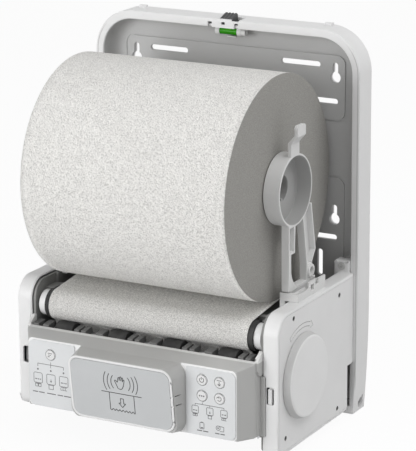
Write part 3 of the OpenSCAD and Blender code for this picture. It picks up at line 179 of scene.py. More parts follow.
def closeMaterial(make, colour, rough, height=None, depth=0.0, strength=1.0, **fixed):
    links = {"Base Color": colour, "Roughness": rough}
    if height is not None:
        bump = {"Height": height, "Distance": depth, "Strength": strength}
        links["Normal"] = make.add("ShaderNodeBump", {}, bump)
    links.update({key.replace("_", " "): value for key, value in fixed.items()})
    shader = make.add("ShaderNodeBsdfPrincipled", {}, links)
    make.add("ShaderNodeOutputMaterial", {}, {"Surface": shader})


# in the settings of the finishes, a noise is its scale, detail and roughness, a span or other pair of limits
# is where a blend begins and ends, and a share is how much of it shows

# every moulding: slow drift of its tone and a spark-eroded grain of specks, duller where dust settles
mouldSet = {
    "drift": (22.0, 3.0), "driftSpan": (0.3, 0.7), "dark": 0.965, "roughSpread": 0.10,
    "speck": (2600.0, 1.0), "speckSpan": (0.62, 0.80), "speckShare": 0.10, "speckDark": 0.8,
    "grain": 0.00006, "strength": 0.8, "dustRough": 0.15,
    "rub": (9.0, 4.0, 0.62), "rubSpan": (0.56, 0.70), "rubGloss": 0.06,
}


def newMoulding(name, s=mouldSet):
    material, make, place = newMaterial(name)
    return material, make, place, place.noise(*s["drift"]), place.noise(*s["speck"])


def drifted(drift, colour, dark=mouldSet["dark"]):
    return drift.ramp(*mouldSet["driftSpan"]).mix(shade(colour, dark), colour)


def specked(speck, tone, dark):
    return (speck.ramp(*mouldSet["speckSpan"]) * mouldSet["speckShare"]).mix(tone, dark)


def spread(noise, rough, width=mouldSet["roughSpread"]):  # roughness that wavers with a noise
    return rough + (noise - 0.5) * width


# plain plastics, with a few rubbed patches
plasticSet = {
    "white": {"colour": (0.80, 0.80, 0.80), "rough": 0.46, "grain": 0.00006},
    "pale": {"colour": (0.73, 0.73, 0.725), "rough": 0.44, "grain": 0.00004},
    "frame": {"colour": (0.24, 0.24, 0.235), "rough": 0.52, "grain": 0.00008},
    # the comb's grey plastic is coloured darker still: painted shade
    "comb": {"colour": (0.13, 0.13, 0.128), "rough": 0.50, "grain": 0.00006},
    "dark": {"colour": (0.060, 0.060, 0.062), "rough": 0.55, "grain": 0.00008},
    "key": {"colour": (0.78, 0.78, 0.78), "rough": 0.36, "grain": 0.00002},
    "cellWrap": {"colour": (0.035, 0.036, 0.04), "rough": 0.32, "grain": 0.00001},
}


def makePlastic(name, s):
    material, make, place, drift, speck = newMoulding(name)
    rubbed = place.noise(*mouldSet["rub"]).ramp(*mouldSet["rubSpan"])
    tone = specked(speck, drifted(drift, s["colour"]), shade(s["colour"], mouldSet["speckDark"]))
    rough = spread(drift, s["rough"]) - rubbed * mouldSet["rubGloss"]
    closeMaterial(make, tone, rough, speck, s["grain"], mouldSet["strength"])
    return material


finish = {name: makePlastic(name, s) for name, s in plasticSet.items()}

# front panel: grey moulding whose flat front is white on both sides of the sensor box
panelSet = {
    "grey": (0.48, 0.48, 0.472), "white": (0.84, 0.84, 0.84), "rough": 0.46, "dark": 0.96, "speckDark": 0.6,
    # depths between which the flat front's white fades, behind it and before it
    "front": (-0.1994, -0.1988), "frontEnd": (-0.2009, -0.2006),
    # middles and radius of the white field's corners
    "arcX": 0.0997, "arcZ": (0.0326, 0.0864), "arcR": (0.0046, 0.0048),
    # the white ends inside the sensor box
    "boxX": (0.0500, 0.0510),
    # the lip's edge is painted pale above this height: a painted highlight
    "paintedHighlightZ": (0.0948, 0.0952), "lip": (0.70, 0.70, 0.69),
}


def makePanelFinish(s):
    material, make, place, drift, speck = newMoulding("panel")
    aside, depth, height = abs(place.part("X")), place.part("Y"), place.part("Z")
    atFront = (1 - depth.ramp(*s["front"])) * depth.ramp(*s["frontEnd"])
    upwards = height.beyond(s["arcZ"][1]) + (s["arcZ"][0] - height).beyond(0.0)
    past = distance(aside.beyond(s["arcX"]), upwards).ramp(*s["arcR"])
    white = atFront * aside.ramp(*s["boxX"]) * (1 - past)
    tone = white.mix(drifted(drift, s["grey"], s["dark"]), s["white"])
    # painted highlight along the lip's top edge
    tone = height.ramp(*s["paintedHighlightZ"]).mix(tone, s["lip"])
    tone = specked(speck, tone, shade(s["grey"], s["speckDark"]))
    closeMaterial(make, tone, spread(drift, s["rough"]), speck, mouldSet["grain"], mouldSet["strength"])
    return material


finish["panel"] = makePanelFinish(panelSet)

# tray: white rim with a fine groove moulded along its front and painted dark in it as painted shade, and a
# matt inner face painted a shade greyer as painted shade
traySet = {
    "rim": (0.80, 0.80, 0.80), "inner": (0.505, 0.505, 0.502), "line": (0.52, 0.52, 0.515), "rough": 0.50,
    # depths between which the inner face lies
    "lip": (-0.0228, -0.0216), "back": (-0.0026, -0.0020),
    # middles of the corner arcs, the radii of the rim's inner wall and of the line, and the line's half width
    "arcX": 0.0960, "arcZ": 0.3160, "innerR": (0.0314, 0.0318), "lineR": 0.0368, "lineHalf": (0.0002, 0.0005),
    # the line lies in front of this depth and fades between these heights; it is this deep, in specks
    "lineY": (-0.0230, -0.0226), "lineTop": (0.3300, 0.3460), "lineDepth": 2,
}


def makeTrayFinish(s):
    material, make, place, drift, speck = newMoulding("tray")
    depth, height = place.part("Y"), place.part("Z")
    # distance from the middles of the corner arcs tells the rim's inner wall from its outer one
    away = distance(abs(place.part("X")).beyond(s["arcX"]), height.beyond(s["arcZ"]))
    behindRim = depth.ramp(*s["lip"]) * (1 - depth.ramp(*s["back"]))
    # the inner face behind the rim is painted greyer: painted shade
    inside = behindRim * (1 - away.ramp(*s["innerR"]))
    # a thin line along the rim's front is painted dark: painted shade of its shallow groove
    onPaintedShadeLine = 1 - abs(away - s["lineR"]).ramp(*s["lineHalf"])
    line = (1 - depth.ramp(*s["lineY"])) * onPaintedShadeLine * (1 - height.ramp(*s["lineTop"]))
    tone = inside.mix(drifted(drift, s["rim"]), s["inner"])
    tone = specked(speck, line.mix(tone, s["line"]), shade(s["inner"], mouldSet["speckDark"]))
    rough = spread(drift, s["rough"]) + inside * mouldSet["dustRough"]
    relief = speck - line * s["lineDepth"]
    closeMaterial(make, tone, rough, relief, mouldSet["grain"], mouldSet["strength"])
    return material


finish["tray"] = makeTrayFinish(traySet)

# gear cover: white, with painted shade below its face, in the arrow's groove
coverSet = {
    "white": (0.80, 0.80, 0.80), "groove": (0.40, 0.40, 0.395), "rough": 0.46, "face": (0.1307, 0.1308),
}


def makeCoverFinish(s):
    material, make, place, drift, speck = newMoulding("gearCover")
    # everything below the face is painted darker: painted shade
    tone = place.part("X").ramp(*s["face"]).mix(s["groove"], drifted(drift, s["white"]))
    closeMaterial(make, tone, spread(drift, s["rough"]), speck, mouldSet["grain"], mouldSet["strength"])
    return material


finish["cover"] = makeCoverFinish(coverSet)

# hand wheel: a smooth face and a rim with a coarse dull grain, the rim painted darker as painted shade
wheelSet = {
    "white": (0.82, 0.82, 0.82), "dark": 0.97, "rough": 0.42, "face": (0.1372, 0.1378),
    "rim": (0.57, 0.57, 0.567), "rimDark": 0.8, "rimRough": 0.3,
    "grain": (1500.0, 2.0), "grainSpan": (0.55, 0.75), "grainShare": 0.3, "relief": 0.00015,
}


def makeWheelFinish(s):
    material, make, place = newMaterial("wheel")
    drift = place.noise(*mouldSet["drift"])
    grain = place.noise(*s["grain"])
    rimWithPaintedShade = 1 - place.part("X").ramp(*s["face"])
    # the rim is painted darker: painted shade
    tone = rimWithPaintedShade.mix(drifted(drift, s["white"], s["dark"]), s["rim"])
    dots = grain.ramp(*s["grainSpan"]) * rimWithPaintedShade * s["grainShare"]
    tone = dots.mix(tone, shade(s["rim"], s["rimDark"]))
    rough = s["rough"] + rimWithPaintedShade * s["rimRough"]
    closeMaterial(make, tone, rough, grain * rimWithPaintedShade, s["relief"], mouldSet["strength"])
    return material


finish["wheel"] = makeWheelFinish(wheelSet)

# roll arms: pale moulding, duller inside the cup round the roll's axis, and painted darker there as painted
# shade
armSet = {
    "pale": (0.73, 0.73, 0.725), "inside": (0.40, 0.40, 0.396), "rough": 0.44, "grain": 0.00004,
    "axis": rollAxis, "cupR": (0.0302, 0.0306),
}


def makeArmFinish(s):
    material, make, place, drift, speck = newMoulding("arm")
    away = distance(place.part("Y") - s["axis"][0], place.part("Z") - s["axis"][1])
    inside = 1 - away.ramp(*s["cupR"])
    # inside the cup the tone is painted darker: painted shade
    tone = inside.mix(drifted(drift, s["pale"]), s["inside"])
    rough = spread(drift, s["rough"]) + inside * mouldSet["dustRough"]
    closeMaterial(make, tone, rough, speck, s["grain"], mouldSet["strength"])
    return material


finish["arm"] = makeArmFinish(armSet)

# printed sheets: smooth film with a faint dot screen
sheetSet = {
    "label": {"colour": (0.71, 0.722, 0.732), "rough": 0.34},
    "plate": {"colour": (0.545, 0.557, 0.565), "rough": 0.30},
    "ink": {"colour": (0.05, 0.05, 0.052), "rough": 0.42},
    "inkPale": {"colour": (0.15, 0.15, 0.155), "rough": 0.42},
}
screenSet = {
    "drift": (30.0, 2.0), "driftSpan": (0.35, 0.65), "dark": 0.97, "roughSpread": 0.08,
    "dots": (4200.0, 0.0), "dotSpan": (0.60, 0.75), "dotShare": 0.06, "dotPale": 1.1,
    "relief": 0.00001, "strength": 0.5,
}


def makePrinted(name, own, s=screenSet):
    material, make, place = newMaterial(name)
    drift = place.noise(*s["drift"])
    dots = place.noise(*s["dots"])
    tone = drift.ramp(*s["driftSpan"]).mix(shade(own["colour"], s["dark"]), own["colour"])
    tone = (dots.ramp(*s["dotSpan"]) * s["dotShare"]).mix(tone, shade(own["colour"], s["dotPale"]))
    rough = spread(dots, own["rough"], s["roughSpread"])
    closeMaterial(make, tone, rough, dots, s["relief"], s["strength"])
    return material


finish.update({name: makePrinted(name, own) for name, own in sheetSet.items()})

# rubber: matt black with fine ground-in dust
rubberSet = {
    "colour": (0.018, 0.018, 0.018), "dust": (0.10, 0.10, 0.095), "rough": 0.72, "roughSpread": 0.2,
    "worn": (60.0, 3.0), "wornSpan": (0.45, 0.72), "wornShare": 0.35,
    "grit": (1500.0, 3.0, 0.6), "gritSpan": (0.55, 0.8), "gritShare": 0.2, "relief": 0.00012, "strength": 0.7,
}


def makeRubber(s):
    material, make, place = newMaterial("rubber")
    grit = place.noise(*s["grit"])
    worn = place.noise(*s["worn"]).ramp(*s["wornSpan"])
    dust = worn * s["wornShare"] + grit.ramp(*s["gritSpan"]) * s["gritShare"]
    rough = spread(grit, s["rough"], s["roughSpread"])
    closeMaterial(make, dust.mix(s["colour"], s["dust"]), rough, grit, s["relief"], s["strength"])
    return material


finish["rubber"] = makeRubber(rubberSet)

# metals: fine drawn lines along the rods, dulled in patches
metalSet = {
    "steel": {"colour": (0.56, 0.57, 0.58), "dull": (0.38, 0.38, 0.39), "rough": 0.30, "metal": 1.0},
    "zinc": {"colour": (0.66, 0.66, 0.65), "dull": (0.50, 0.50, 0.49), "rough": 0.50, "metal": 0.35},
    "blackSteel": {"colour": (0.030, 0.030, 0.032), "dull": (0.055, 0.054, 0.052), "rough": 0.45,
                   "metal": 0.4},
}
drawnSet = {
    "stretch": (40.0, 2400.0, 2400.0), "lines": (1.0, 3.0, 0.6), "lineRough": 0.15,
    "patch": (120.0, 4.0), "patchSpan": (0.5, 0.75), "patchRough": 0.12, "relief": 0.00002, "strength": 0.6,
}


def makeMetal(name, own, s=drawnSet):
    material, make, place = newMaterial(name)
    stretched = make.add("ShaderNodeMapping", {}, {"Vector": place, "Scale": s["stretch"]})
    lines = stretched.noise(*s["lines"])
    dull = place.noise(*s["patch"]).ramp(*s["patchSpan"])
    tone = dull.mix(own["colour"], own["dull"])
    rough = own["rough"] + lines * s["lineRough"] + dull * s["patchRough"]
    closeMaterial(make, tone, rough, lines, s["relief"], s["strength"], Metallic=own["metal"])
    return material


finish.update({name: makeMetal(name, own) for name, own in metalSet.items()})

# embossed towel paper: short raised streaks that run slantwise, small pits and fibres, with painted shade in
# the hollows and pits, and sawn ends
paperSet = {
    "colour": (0.98, 0.97, 0.94), "hollowShade": (0.75, 0.74, 0.717), "webHollowShade": (0.56, 0.552, 0.535),
    "stretch": (640.0, 1650.0, 1650.0), "slant": -10.0, "streak": (1.0, 1.0, 0.55), "streakShare": 0.8,
    "fibre": (4200.0, 2.0, 0.7), "fibreShare": 0.2, "fibreHeight": 0.10, "toneSpan": (0.36, 0.64),
    "pit": (1150.0, 0.0), "pitSpan": (0.58, 0.72), "pitShare": 0.6, "pitShade": 0.6, "pitDepth": 0.5,
    "rough": 0.88, "roughSpread": 0.1, "relief": 0.0008, "strength": 0.9, "axis": rollAxis,
    # the cut ends lie this far out
    "end": (0.0996, 0.1000), "cut": (0.40, 0.392, 0.37), "cutDark": (0.28, 0.273, 0.258),
    "grit": (1100.0, 3.0, 0.7), "gritSpan": (0.32, 0.68), "gritHeight": 0.5,
}


def makePaper(s, withEnds):
    material, make, place = newMaterial("paperRoll" if withEnds else "paper")
    across = place.part("X")
    # turning each slice about the roll's axis by its place along it lays the streaks along a steep screw line
    twisted = make.add("ShaderNodeVectorRotate", {"rotation_type": "X_AXIS"}, {
        "Vector": place, "Center": (0, *s["axis"]), "Angle": across * s["slant"]})
    stretched = make.add("ShaderNodeMapping", {}, {"Vector": twisted, "Scale": s["stretch"]})
    streak = stretched.noise(*s["streak"])
    pit = place.noise(*s["pit"]).ramp(*s["pitSpan"])
    fibre = place.noise(*s["fibre"])
    height = streak + fibre * s["fibreHeight"] - pit * s["pitDepth"]
    raised = (streak * s["streakShare"] + fibre * s["fibreShare"]).ramp(*s["toneSpan"])
    # the embossing's low parts and its pits are painted darker: painted shade
    tone = raised.mix(s["hollowShade" if withEnds else "webHollowShade"], s["colour"])
    tone = (pit * s["pitShare"]).mix(tone, shade(s["hollowShade"], s["pitShade"]))
    if withEnds:
        grit = place.noise(*s["grit"])
        cut = grit.ramp(*s["gritSpan"]).mix(s["cutDark"], s["cut"])
        onEnd = abs(across).ramp(*s["end"])
        tone = onEnd.mix(tone, cut)
        height = height * (1 - onEnd) + grit * s["gritHeight"] * onEnd
    rough = spread(fibre, s["rough"], s["roughSpread"])
    closeMaterial(make, tone, rough, height, s["relief"], s["strength"])
    return material


finish["paper"] = makePaper(paperSet, False)
finish["paperRoll"] = makePaper(paperSet, True)

# wound card of the core: grey-brown with paler fibres and blotches
cardSet = {
    "colour": (0.36, 0.27, 0.18), "pale": (0.46, 0.37, 0.27), "rough": 0.85, "roughSpread": 0.1,
    "fibre": (1800.0, 3.0, 0.65), "fibreSpan": (0.35, 0.7), "fibreShare": 0.7,
    "blotch": (70.0, 3.0), "blotchShare": 0.3, "relief": 0.0001, "strength": 0.7,
}


def makeCard(s):
    material, make, place = newMaterial("card")
    fibre = place.noise(*s["fibre"])
    blotch = place.noise(*s["blotch"])
    paler = fibre.ramp(*s["fibreSpan"]) * s["fibreShare"] + blotch * s["blotchShare"]
    rough = spread(fibre, s["rough"], s["roughSpread"])
    closeMaterial(make, paler.mix(s["colour"], s["pale"]), rough, fibre, s["relief"], s["strength"])
    return material


finish["card"] = makeCard(cardSet)

# spirit level: green fluid, deeper below, with an air bubble on top
vialSet = {
    "fluid": (0.040, 0.35, 0.006), "deep": (0.016, 0.20, 0.002), "rough": 0.25, "specular": 0.15,
    # heights about the vial's middle over which the fluid pales
    "paleSpan": (-0.0030, 0.0015), "paleShare": 0.8, "cloud": 300.0, "cloudShare": 0.2,
    # the bubble's edges along the vial and up
    "bubble": (0.12, 0.50, 0.04), "bubbleRough": 0.05, "bubbleX": (0.0024, 0.0032),
    "bubbleZ": (0.0014, 0.0021),
}


def makeVial(s):
    material, make, place = newMaterial("vial")
    low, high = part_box("level_vial")
    height = place.part("Z") - (low[2] + high[2]) / 2
    paler = height.ramp(*s["paleSpan"]) * s["paleShare"] + place.noise(s["cloud"]) * s["cloudShare"]
    bubble = (1 - abs(place.part("X")).ramp(*s["bubbleX"])) * height.ramp(*s["bubbleZ"])
    tone = bubble.mix(paler.mix(s["deep"], s["fluid"]), s["bubble"])
    rough = s["rough"] + bubble * s["bubbleRough"]
    closeMaterial(make, tone, rough, Specular_IOR_Level=s["specular"])
    return material


finish["vial"] = makeVial(vialSet)

# circuit board: green solder resist with copper lines showing through
boardSet = {
    "resist": (0.012, 0.11, 0.045), "track": (0.03, 0.20, 0.085), "rough": 0.34, "roughSpread": 0.1,
    "cells": 240.0, "trackSpan": (0.05, 0.09), "trackShare": 0.8,
    "speck": (1500.0, 2.0), "speckShare": 0.1, "relief": 0.00003, "strength": 0.6,
}


def makeBoard(s):
    material, make, place = newMaterial("board")
    cells = make.add("ShaderNodeTexVoronoi", {"feature": "DISTANCE_TO_EDGE"},
                     {"Vector": place, "Scale": s["cells"]}, "Distance")
    track = 1 - cells.ramp(*s["trackSpan"])
    speck = place.noise(*s["speck"])
    tone = (track * s["trackShare"] + speck * s["speckShare"]).mix(s["resist"], s["track"])
    rough = spread(speck, s["rough"], s["roughSpread"])
    closeMaterial(make, tone, rough, track, s["relief"], s["strength"])
    return material


finish["board"] = makeBoard(boardSet)

# which finish each node has
nodesOf = {
    "tray": ("back_tray",),
    "panel": ("fascia",),
    "cover": ("gear_cover",),
    "wheel": ("hand_wheel",),
    "arm": ("right_roll_arm", "left_roll_arm"),
    "white": ("left_housing", "right_housing", "wheel_gear", "compound_gear", "feed_collars", "roller_gear",
              "sensor_bezel", "switch_tongue", "cover_catch"),
    "pale": ("level_holder", "roller_bushes", "right_arm_base", "left_arm_base"),
    "frame": ("chassis", "roller_guard"),
    "comb": ("guide_comb", "chute_plate"),
    "dark": ("cover_latch", "hand_sensor", "battery_box", "battery_lid", "cover_switch"),
    "key": tuple(key + "_button" for key in keyNames),
    "plate": ("sensor_plate",),
    "label": ("left_label", "right_label"),
    "rubber": ("feed_sleeve", "pinch_tyres"),
    "steel": ("gear_pins", "drive_motor", "motor_pinion", "feed_shaft", "pinch_shaft", "tear_bar", "arm_pins",
              "battery_contacts"),
    "blackSteel": ("gear_cover_screws",),
    "zinc": ("module_screws",),
    "vial": ("level_vial",),
    "board": ("control_board",),
    "cellWrap": ("battery_cells",),
    "card": ("roll_core",),
    "paperRoll": ("towel_roll",),
    "paper": ("towel_web",),
}
nodeFinish = {node: name for name, group in nodesOf.items() for node in group}
for name, obj in nodes.items():
    for materialSlot in obj.material_slots:
        materialSlot.material = finish[nodeFinish[name]]
print("finishes:", len(finish))


def addPiece(name, mesh, body, material, stands=()):
    obj = bpy.data.objects.new(name, mesh)
    scene.collection.objects.link(obj)
    mesh.materials.clear()
    mesh.materials.append(finish[material])
    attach(obj, body)
    if stands:
        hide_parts(*stands)
    return obj


# merged copies of the mouldings, with the radii that their edges have: an edge no longer than "shortest"
# stays sharp, and one close to a piece in "fineBeside", or behind "fineBehind", gets a share of the radius
edgeSet = {
    "back_tray": {"radius": 0.0011, "shortest": 0.0012, "slot": "white", "outerOnly": True,
                  "fineBeside": ("cover_latch", "level_holder"), "fineMargin": 0.020, "fineBehind": -0.012,
                  "fineShare": 0.0},
    "left_housing": {"radius": 0.0016, "shortest": 0.0009, "slot": "white"},
    "right_housing": {"radius": 0.0014, "shortest": 0.0009, "slot": "white", "fineBeside": ("gear_cover",),
                      "fineMargin": 0.0012},
    "gear_cover": {"radius": 0.0002, "shortest": 0.006, "slot": "white"},
    "hand_wheel": {"radius": 0.0005, "shortest": 0.0004, "slot": "white"},
    "fascia": {"radius": 0.0008, "shortest": 0.0016, "slot": "grey"},
    "sensor_bezel": {"radius": 0.0005, "shortest": 0.0002, "slot": "white"},
    **{side + "_roll_arm": {"radius": 0.0005, "shortest": 0.0008, "slot": "pale"} for side in sides},
    **{side + "_arm_base": {"radius": 0.0004, "shortest": 0.0009, "slot": "pale"} for side in sides},
    "guide_comb": {"radius": 0.0003, "shortest": 0.0009, "slot": "grey"},
    "feed_collars": {"radius": 0.0005, "shortest": 0.0005, "slot": "white"},
    "pinch_tyres": {"radius": 0.0006, "shortest": 0.0005, "slot": "rubber"},
    "level_holder": {"radius": 0.0003, "shortest": 0.0003, "slot": "pale"},
    "cover_latch": {"radius": 0.0003, "shortest": 0.0006, "slot": "dark"},
    **{key + "_button": {"radius": 0.0006, "shortest": 0.0003, "slot": "white"} for key in keyNames},
    "switch_tongue": {"radius": 0.0004, "shortest": 0.0006, "slot": "white"},
}
# turn between two faces, in degrees, from which their edge counts as sharp, and from which it is a thin fin
sharpTurn, finTurn = 32, 175
# corners closer than the gap are one, and fine edges get the usual share unless a piece has its own
mergeGap, usualShare, bevelSteps = 2e-6, 0.2, 2
nowhere = (9, 9, 9)


def roundEdges(name, s):
    mesh = nodes[name].data.copy()
    if "custom_normal" in mesh.attributes:
        mesh.attributes.remove(mesh.attributes["custom_normal"])
    work = bmesh.new()
    work.from_mesh(mesh)
    bmesh.ops.remove_doubles(work, verts=work.verts, dist=mergeGap)
    weight = work.edges.layers.float.new("bevel_weight_edge")
    near = [v.co for other in s.get("fineBeside", ()) for v in nodes[other].data.vertices]
    near = np.array(near or [nowhere])

    def isFine(edge):  # an edge beside another piece, or far back on the floor, keeps a small radius or none
        ends = np.array([v.co for v in edge.verts])
        gaps = np.linalg.norm(near[None] - ends[:, None], axis=-1)
        beside = gaps.min(axis=1).max() < s.get("fineMargin", 0)
        return beside or ends[:, 1].min() > s.get("fineBehind", 1)

    for edge in work.edges:
        signed = math.degrees(edge.calc_face_angle_signed(0)) if len(edge.link_faces) == 2 else 180
        turn = abs(signed)
        rounded = sharpTurn <= turn < finTurn and edge.calc_length() > s["shortest"]
        if signed < 0 and s.get("outerOnly"):  # the latch runs along the channel's inner edges
            rounded = False
        share = (s.get("fineShare", usualShare) if isFine(edge) else 1.0) if rounded else 0.0
        edge[weight] = share
        edge.smooth = turn < sharpTurn or share > 0
    for face in work.faces:
        face.smooth = True
    work.to_mesh(mesh)
    work.free()
    obj = addPiece(name + "_moulded", mesh, bodyOf[name], nodeFinish[name], [name])
    bevel = obj.modifiers.new("edge", "BEVEL")
    bevel.limit_method, bevel.width, bevel.segments = "WEIGHT", s["radius"], bevelSteps
    bevel.use_clamp_overlap, bevel.miter_outer = False, "MITER_ARC"
    # keeps the flats even up to their rounded edges
    flat = obj.modifiers.new("flat faces", "WEIGHTED_NORMAL")
    flat.keep_sharp = True


for name, s in edgeSet.items():
    roundEdges(name, s)
print("mouldings with rounded edges:", len(edgeSet))


def gridMesh(name, points, closeU=False, closeV=False):
    # points is an array of rows and columns of places; each four neighbours make a face
    rows, cols = points.shape[:2]
    index = np.arange(rows * cols).reshape(rows, cols)
    if closeU:
        index = np.vstack([index, index[:1]])
    if closeV:
        index = np.hstack([index, index[:, :1]])
    quads = np.stack([index[:-1, :-1], index[:-1, 1:], index[1:, 1:], index[1:, :-1]], axis=-1).reshape(-1, 4)
    mesh = bpy.data.meshes.new(name)
    mesh.vertices.add(rows * cols)
    mesh.vertices.foreach_set("co", points.reshape(-1).astype(np.float32))
    mesh.loops.add(quads.size)
    mesh.loops.foreach_set("vertex_index", quads.reshape(-1).astype(np.int32))
    mesh.polygons.add(len(quads))
    mesh.polygons.foreach_set("loop_start", np.arange(0, quads.size, 4, dtype=np.int32))
    mesh.update(calc_edges=True)
    mesh.polygons.foreach_set("use_smooth", np.ones(len(quads), dtype=bool))
    return mesh


# towel roll: a side outline of width and radius, turned about the axis
rollSet = {
    "axis": rollAxis, "radius": 0.0999, "half": 0.1002, "hole": 0.0231, "shoulder": 0.0005, "holeIn": 0.0005,
    "turns": 288, "drumSteps": 41, "bendSteps": 7, "rings": 46, "ringDepth": 0.00003, "seed": 4,
    # how far inside the shoulder the layers begin, and how far outside the hole they end
    "ringsFrom": 0.0004, "ringsTo": 0.0006,
}


def towelRoll(s):
    # outline: across the drum, round the shoulder, in along the cut end over layers of uneven height,
    # and back through the hole
    drum = np.linspace(-1, 1, s["drumSteps"]) * (s["half"] - s["shoulder"])
    bend = np.radians(np.linspace(0, 90, s["bendSteps"]))
    heights = np.random.default_rng(s["seed"]).random(s["rings"]) * s["ringDepth"]
    outermost = s["radius"] - s["shoulder"] - s["ringsFrom"]
    ringAt = np.linspace(outermost, s["hole"] + s["ringsTo"], s["rings"])
    shoulderX = s["half"] - s["shoulder"] * (1 - np.sin(bend))
    shoulderR = s["radius"] - s["shoulder"] * (1 - np.cos(bend))
    rightX = np.concatenate([shoulderX, s["half"] - heights, [s["half"] - s["holeIn"]]])
    rightR = np.concatenate([shoulderR, ringAt, [s["hole"]]])
    x = np.concatenate([drum, rightX, -rightX[::-1]])
    r = np.concatenate([np.full(s["drumSteps"], s["radius"]), rightR, rightR[::-1]])
    turn = np.linspace(0, 2 * np.pi, s["turns"], endpoint=False)[:, None]
    points = np.stack([np.broadcast_to(x, (s["turns"], len(x))), s["axis"][0] + r * np.cos(turn),
                       s["axis"][1] + r * np.sin(turn)], axis=-1)
    mesh = gridMesh("paper_roll", points[:, ::-1], True, True)
    addPiece("paper_roll", mesh, "roll", "paperRoll", ["towel_roll"])


towelRoll(rollSet)

# towel web: a line of arcs in the side view, carried across the width, with a torn edge at its free end
webSet = {
    "roll": rollAxis, "feed": axisOf("feed_sleeve"), "pinch": axisOf("pinch_shaft"),
    "rollR": 0.10055, "feedR": 0.01395, "pinchR": 0.00985, "nip": 243.0, "wrap": 24.0,
    "endZ": 0.0204, "half": 0.0998, "thick": 0.0003, "tooth": 0.004, "toothDepth": 0.0012,
    "rollSteps": 40, "freeSteps": 42, "feedSteps": 48, "pinchSteps": 16, "dropSteps": 50, "columns": 401,
}


def towelWeb(s):
    roll, feed, pinch = (np.array(s[k]) for k in ("roll", "feed", "pinch"))
    gap = feed - roll
    # the paper leaves the roll along the line that touches both it and the feed roller on opposite sides
    towards = np.degrees(np.arctan2(gap[1], gap[0])) + 360
    leave = towards + np.degrees(np.arccos((s["rollR"] + s["feedR"]) / np.hypot(*gap)))

    def arc(c, r, a, b, n):
        t = np.radians(np.linspace(a, b, n))
        return c + r * np.stack([np.cos(t), np.sin(t)], axis=-1)

    onRoll = arc(roll, s["rollR"], leave + s["wrap"], leave, s["rollSteps"])
    onFeed = arc(feed, s["feedR"], leave - 180, s["nip"], s["feedSteps"])
    onPinch = arc(pinch, s["pinchR"], s["nip"] - 180, 0, s["pinchSteps"])
    free = onRoll[-1] + (onFeed[0] - onRoll[-1]) * np.linspace(0, 1, s["freeSteps"])[1:-1, None]
    lastY, lastZ = onPinch[-1]
    dropZ = np.linspace(lastZ, s["endZ"], s["dropSteps"] + 1)[1:]
    drop = np.stack([np.full(s["dropSteps"], lastY), dropZ], axis=-1)
    line = np.concatenate([onRoll, free, onFeed, onPinch, drop])
    x = np.linspace(-s["half"], s["half"], s["columns"])
    points = np.empty((len(line), len(x), 3))
    points[..., 0] = x
    points[..., 1:] = line[:, None, :]
    points[-1, :, 2] += s["toothDepth"] * np.abs((x / s["tooth"]) % 1 - 0.5) * 2
    mesh = gridMesh("paper_web", points[:, ::-1])
    obj = addPiece("paper_web", mesh, "housing", "paper", ["towel_web"])
    wall = obj.modifiers.new("thickness", "SOLIDIFY")
    wall.thickness, wall.offset = s["thick"], 0


towelWeb(webSet)

# printed symbols: ribbons of even width along lines given in millimetres across and up a plate
printSet = {
    "sensor": {"width": 0.72, "lift": 0.00004, "middle": (0, -0.2154, 0.060008), "proud": 0.0012,
               "tilt": 7.5},
    "label": {"width": 0.50, "lift": 0.00004, "front": -0.2012},
    "bar": {"width": 0.90, "lift": 0.00004, "front": -0.2012},
    "key": {"width": 0.50, "lift": 0.00004, "front": -0.2020},
    "keyRing": {"width": 0.30, "lift": 0.00004, "front": -0.2020, "radius": 4.55},
}
inkThick = 0.00003
# share of a run between its corner and the extra point beside it, and the length below which a step is none
besideCorner, noLength = 0.02, 1e-9


def ring(x, y, r, start=0.0, end=360.0, count=33):
    t = np.radians(np.linspace(start, end, count))
    return np.stack([x + r * np.cos(t), y + r * np.sin(t)], axis=-1)


def roundBox(x, y, w, h, r):
    quarters = ((1, 1, 0), (-1, 1, 90), (-1, -1, 180), (1, -1, 270))
    corners = [ring(x + sx * (w / 2 - r), y + sy * (h / 2 - r), r, a, a + 90, 6) for sx, sy, a in quarters]
    return np.concatenate(corners + [corners[0][:1]])


def path(*places):
    # straight runs, with extra points beside each corner so that the ribbon keeps its width there
    ends = np.array(places, dtype=float)
    along = np.array([0, besideCorner, 1 - besideCorner])
    runs = [a + (b - a) * along[:, None] for a, b in zip(ends[:-1], ends[1:])]
    return np.concatenate(runs + [ends[-1:]])


def printOn(name, strokes, s, place, body, material):
    corners, faces, start = [], [], 0
    for line in strokes:
        along = np.gradient(line, axis=0)
        side = np.stack([-along[:, 1], along[:, 0]], axis=-1)
        side *= s["width"] / 2 / np.maximum(np.linalg.norm(side, axis=1, keepdims=True), noLength)
        pairs = np.arange(2 * len(line)).reshape(-1, 2) + start
        corners.append(np.stack([line - side, line + side], axis=1).reshape(-1, 2))
        faces.append(np.stack([pairs[:-1, 0], pairs[1:, 0], pairs[1:, 1], pairs[:-1, 1]], axis=-1))
        start += 2 * len(line)
    mesh = bpy.data.meshes.new(name)
    mesh.from_pydata(place(np.concatenate(corners) / 1000, s).tolist(), [], np.concatenate(faces).tolist())
    mesh.update()
    obj = addPiece(name, mesh, body, material)
    film = obj.modifiers.new("film", "SOLIDIFY")
    film.thickness, film.offset = inkThick, 1


def onSensor(flat, s):  # places across and up the sensor's plate, carried onto its leaning face
    a, out = math.radians(s["tilt"]), s["proud"] + s["lift"]
    x0, y0, z0 = s["middle"]
    u, v = flat[:, 0], flat[:, 1]
    y = y0 - out * math.cos(a) - v * math.sin(a)
    z = z0 - out * math.sin(a) + v * math.cos(a)
    return np.stack([x0 + u, y, z], axis=-1)


def onFront(flat, s):  # places on an upright face, such as a label's or a key's
    return np.stack([flat[:, 0], np.full(len(flat), s["front"] - s["lift"]), flat[:, 1]], axis=-1)


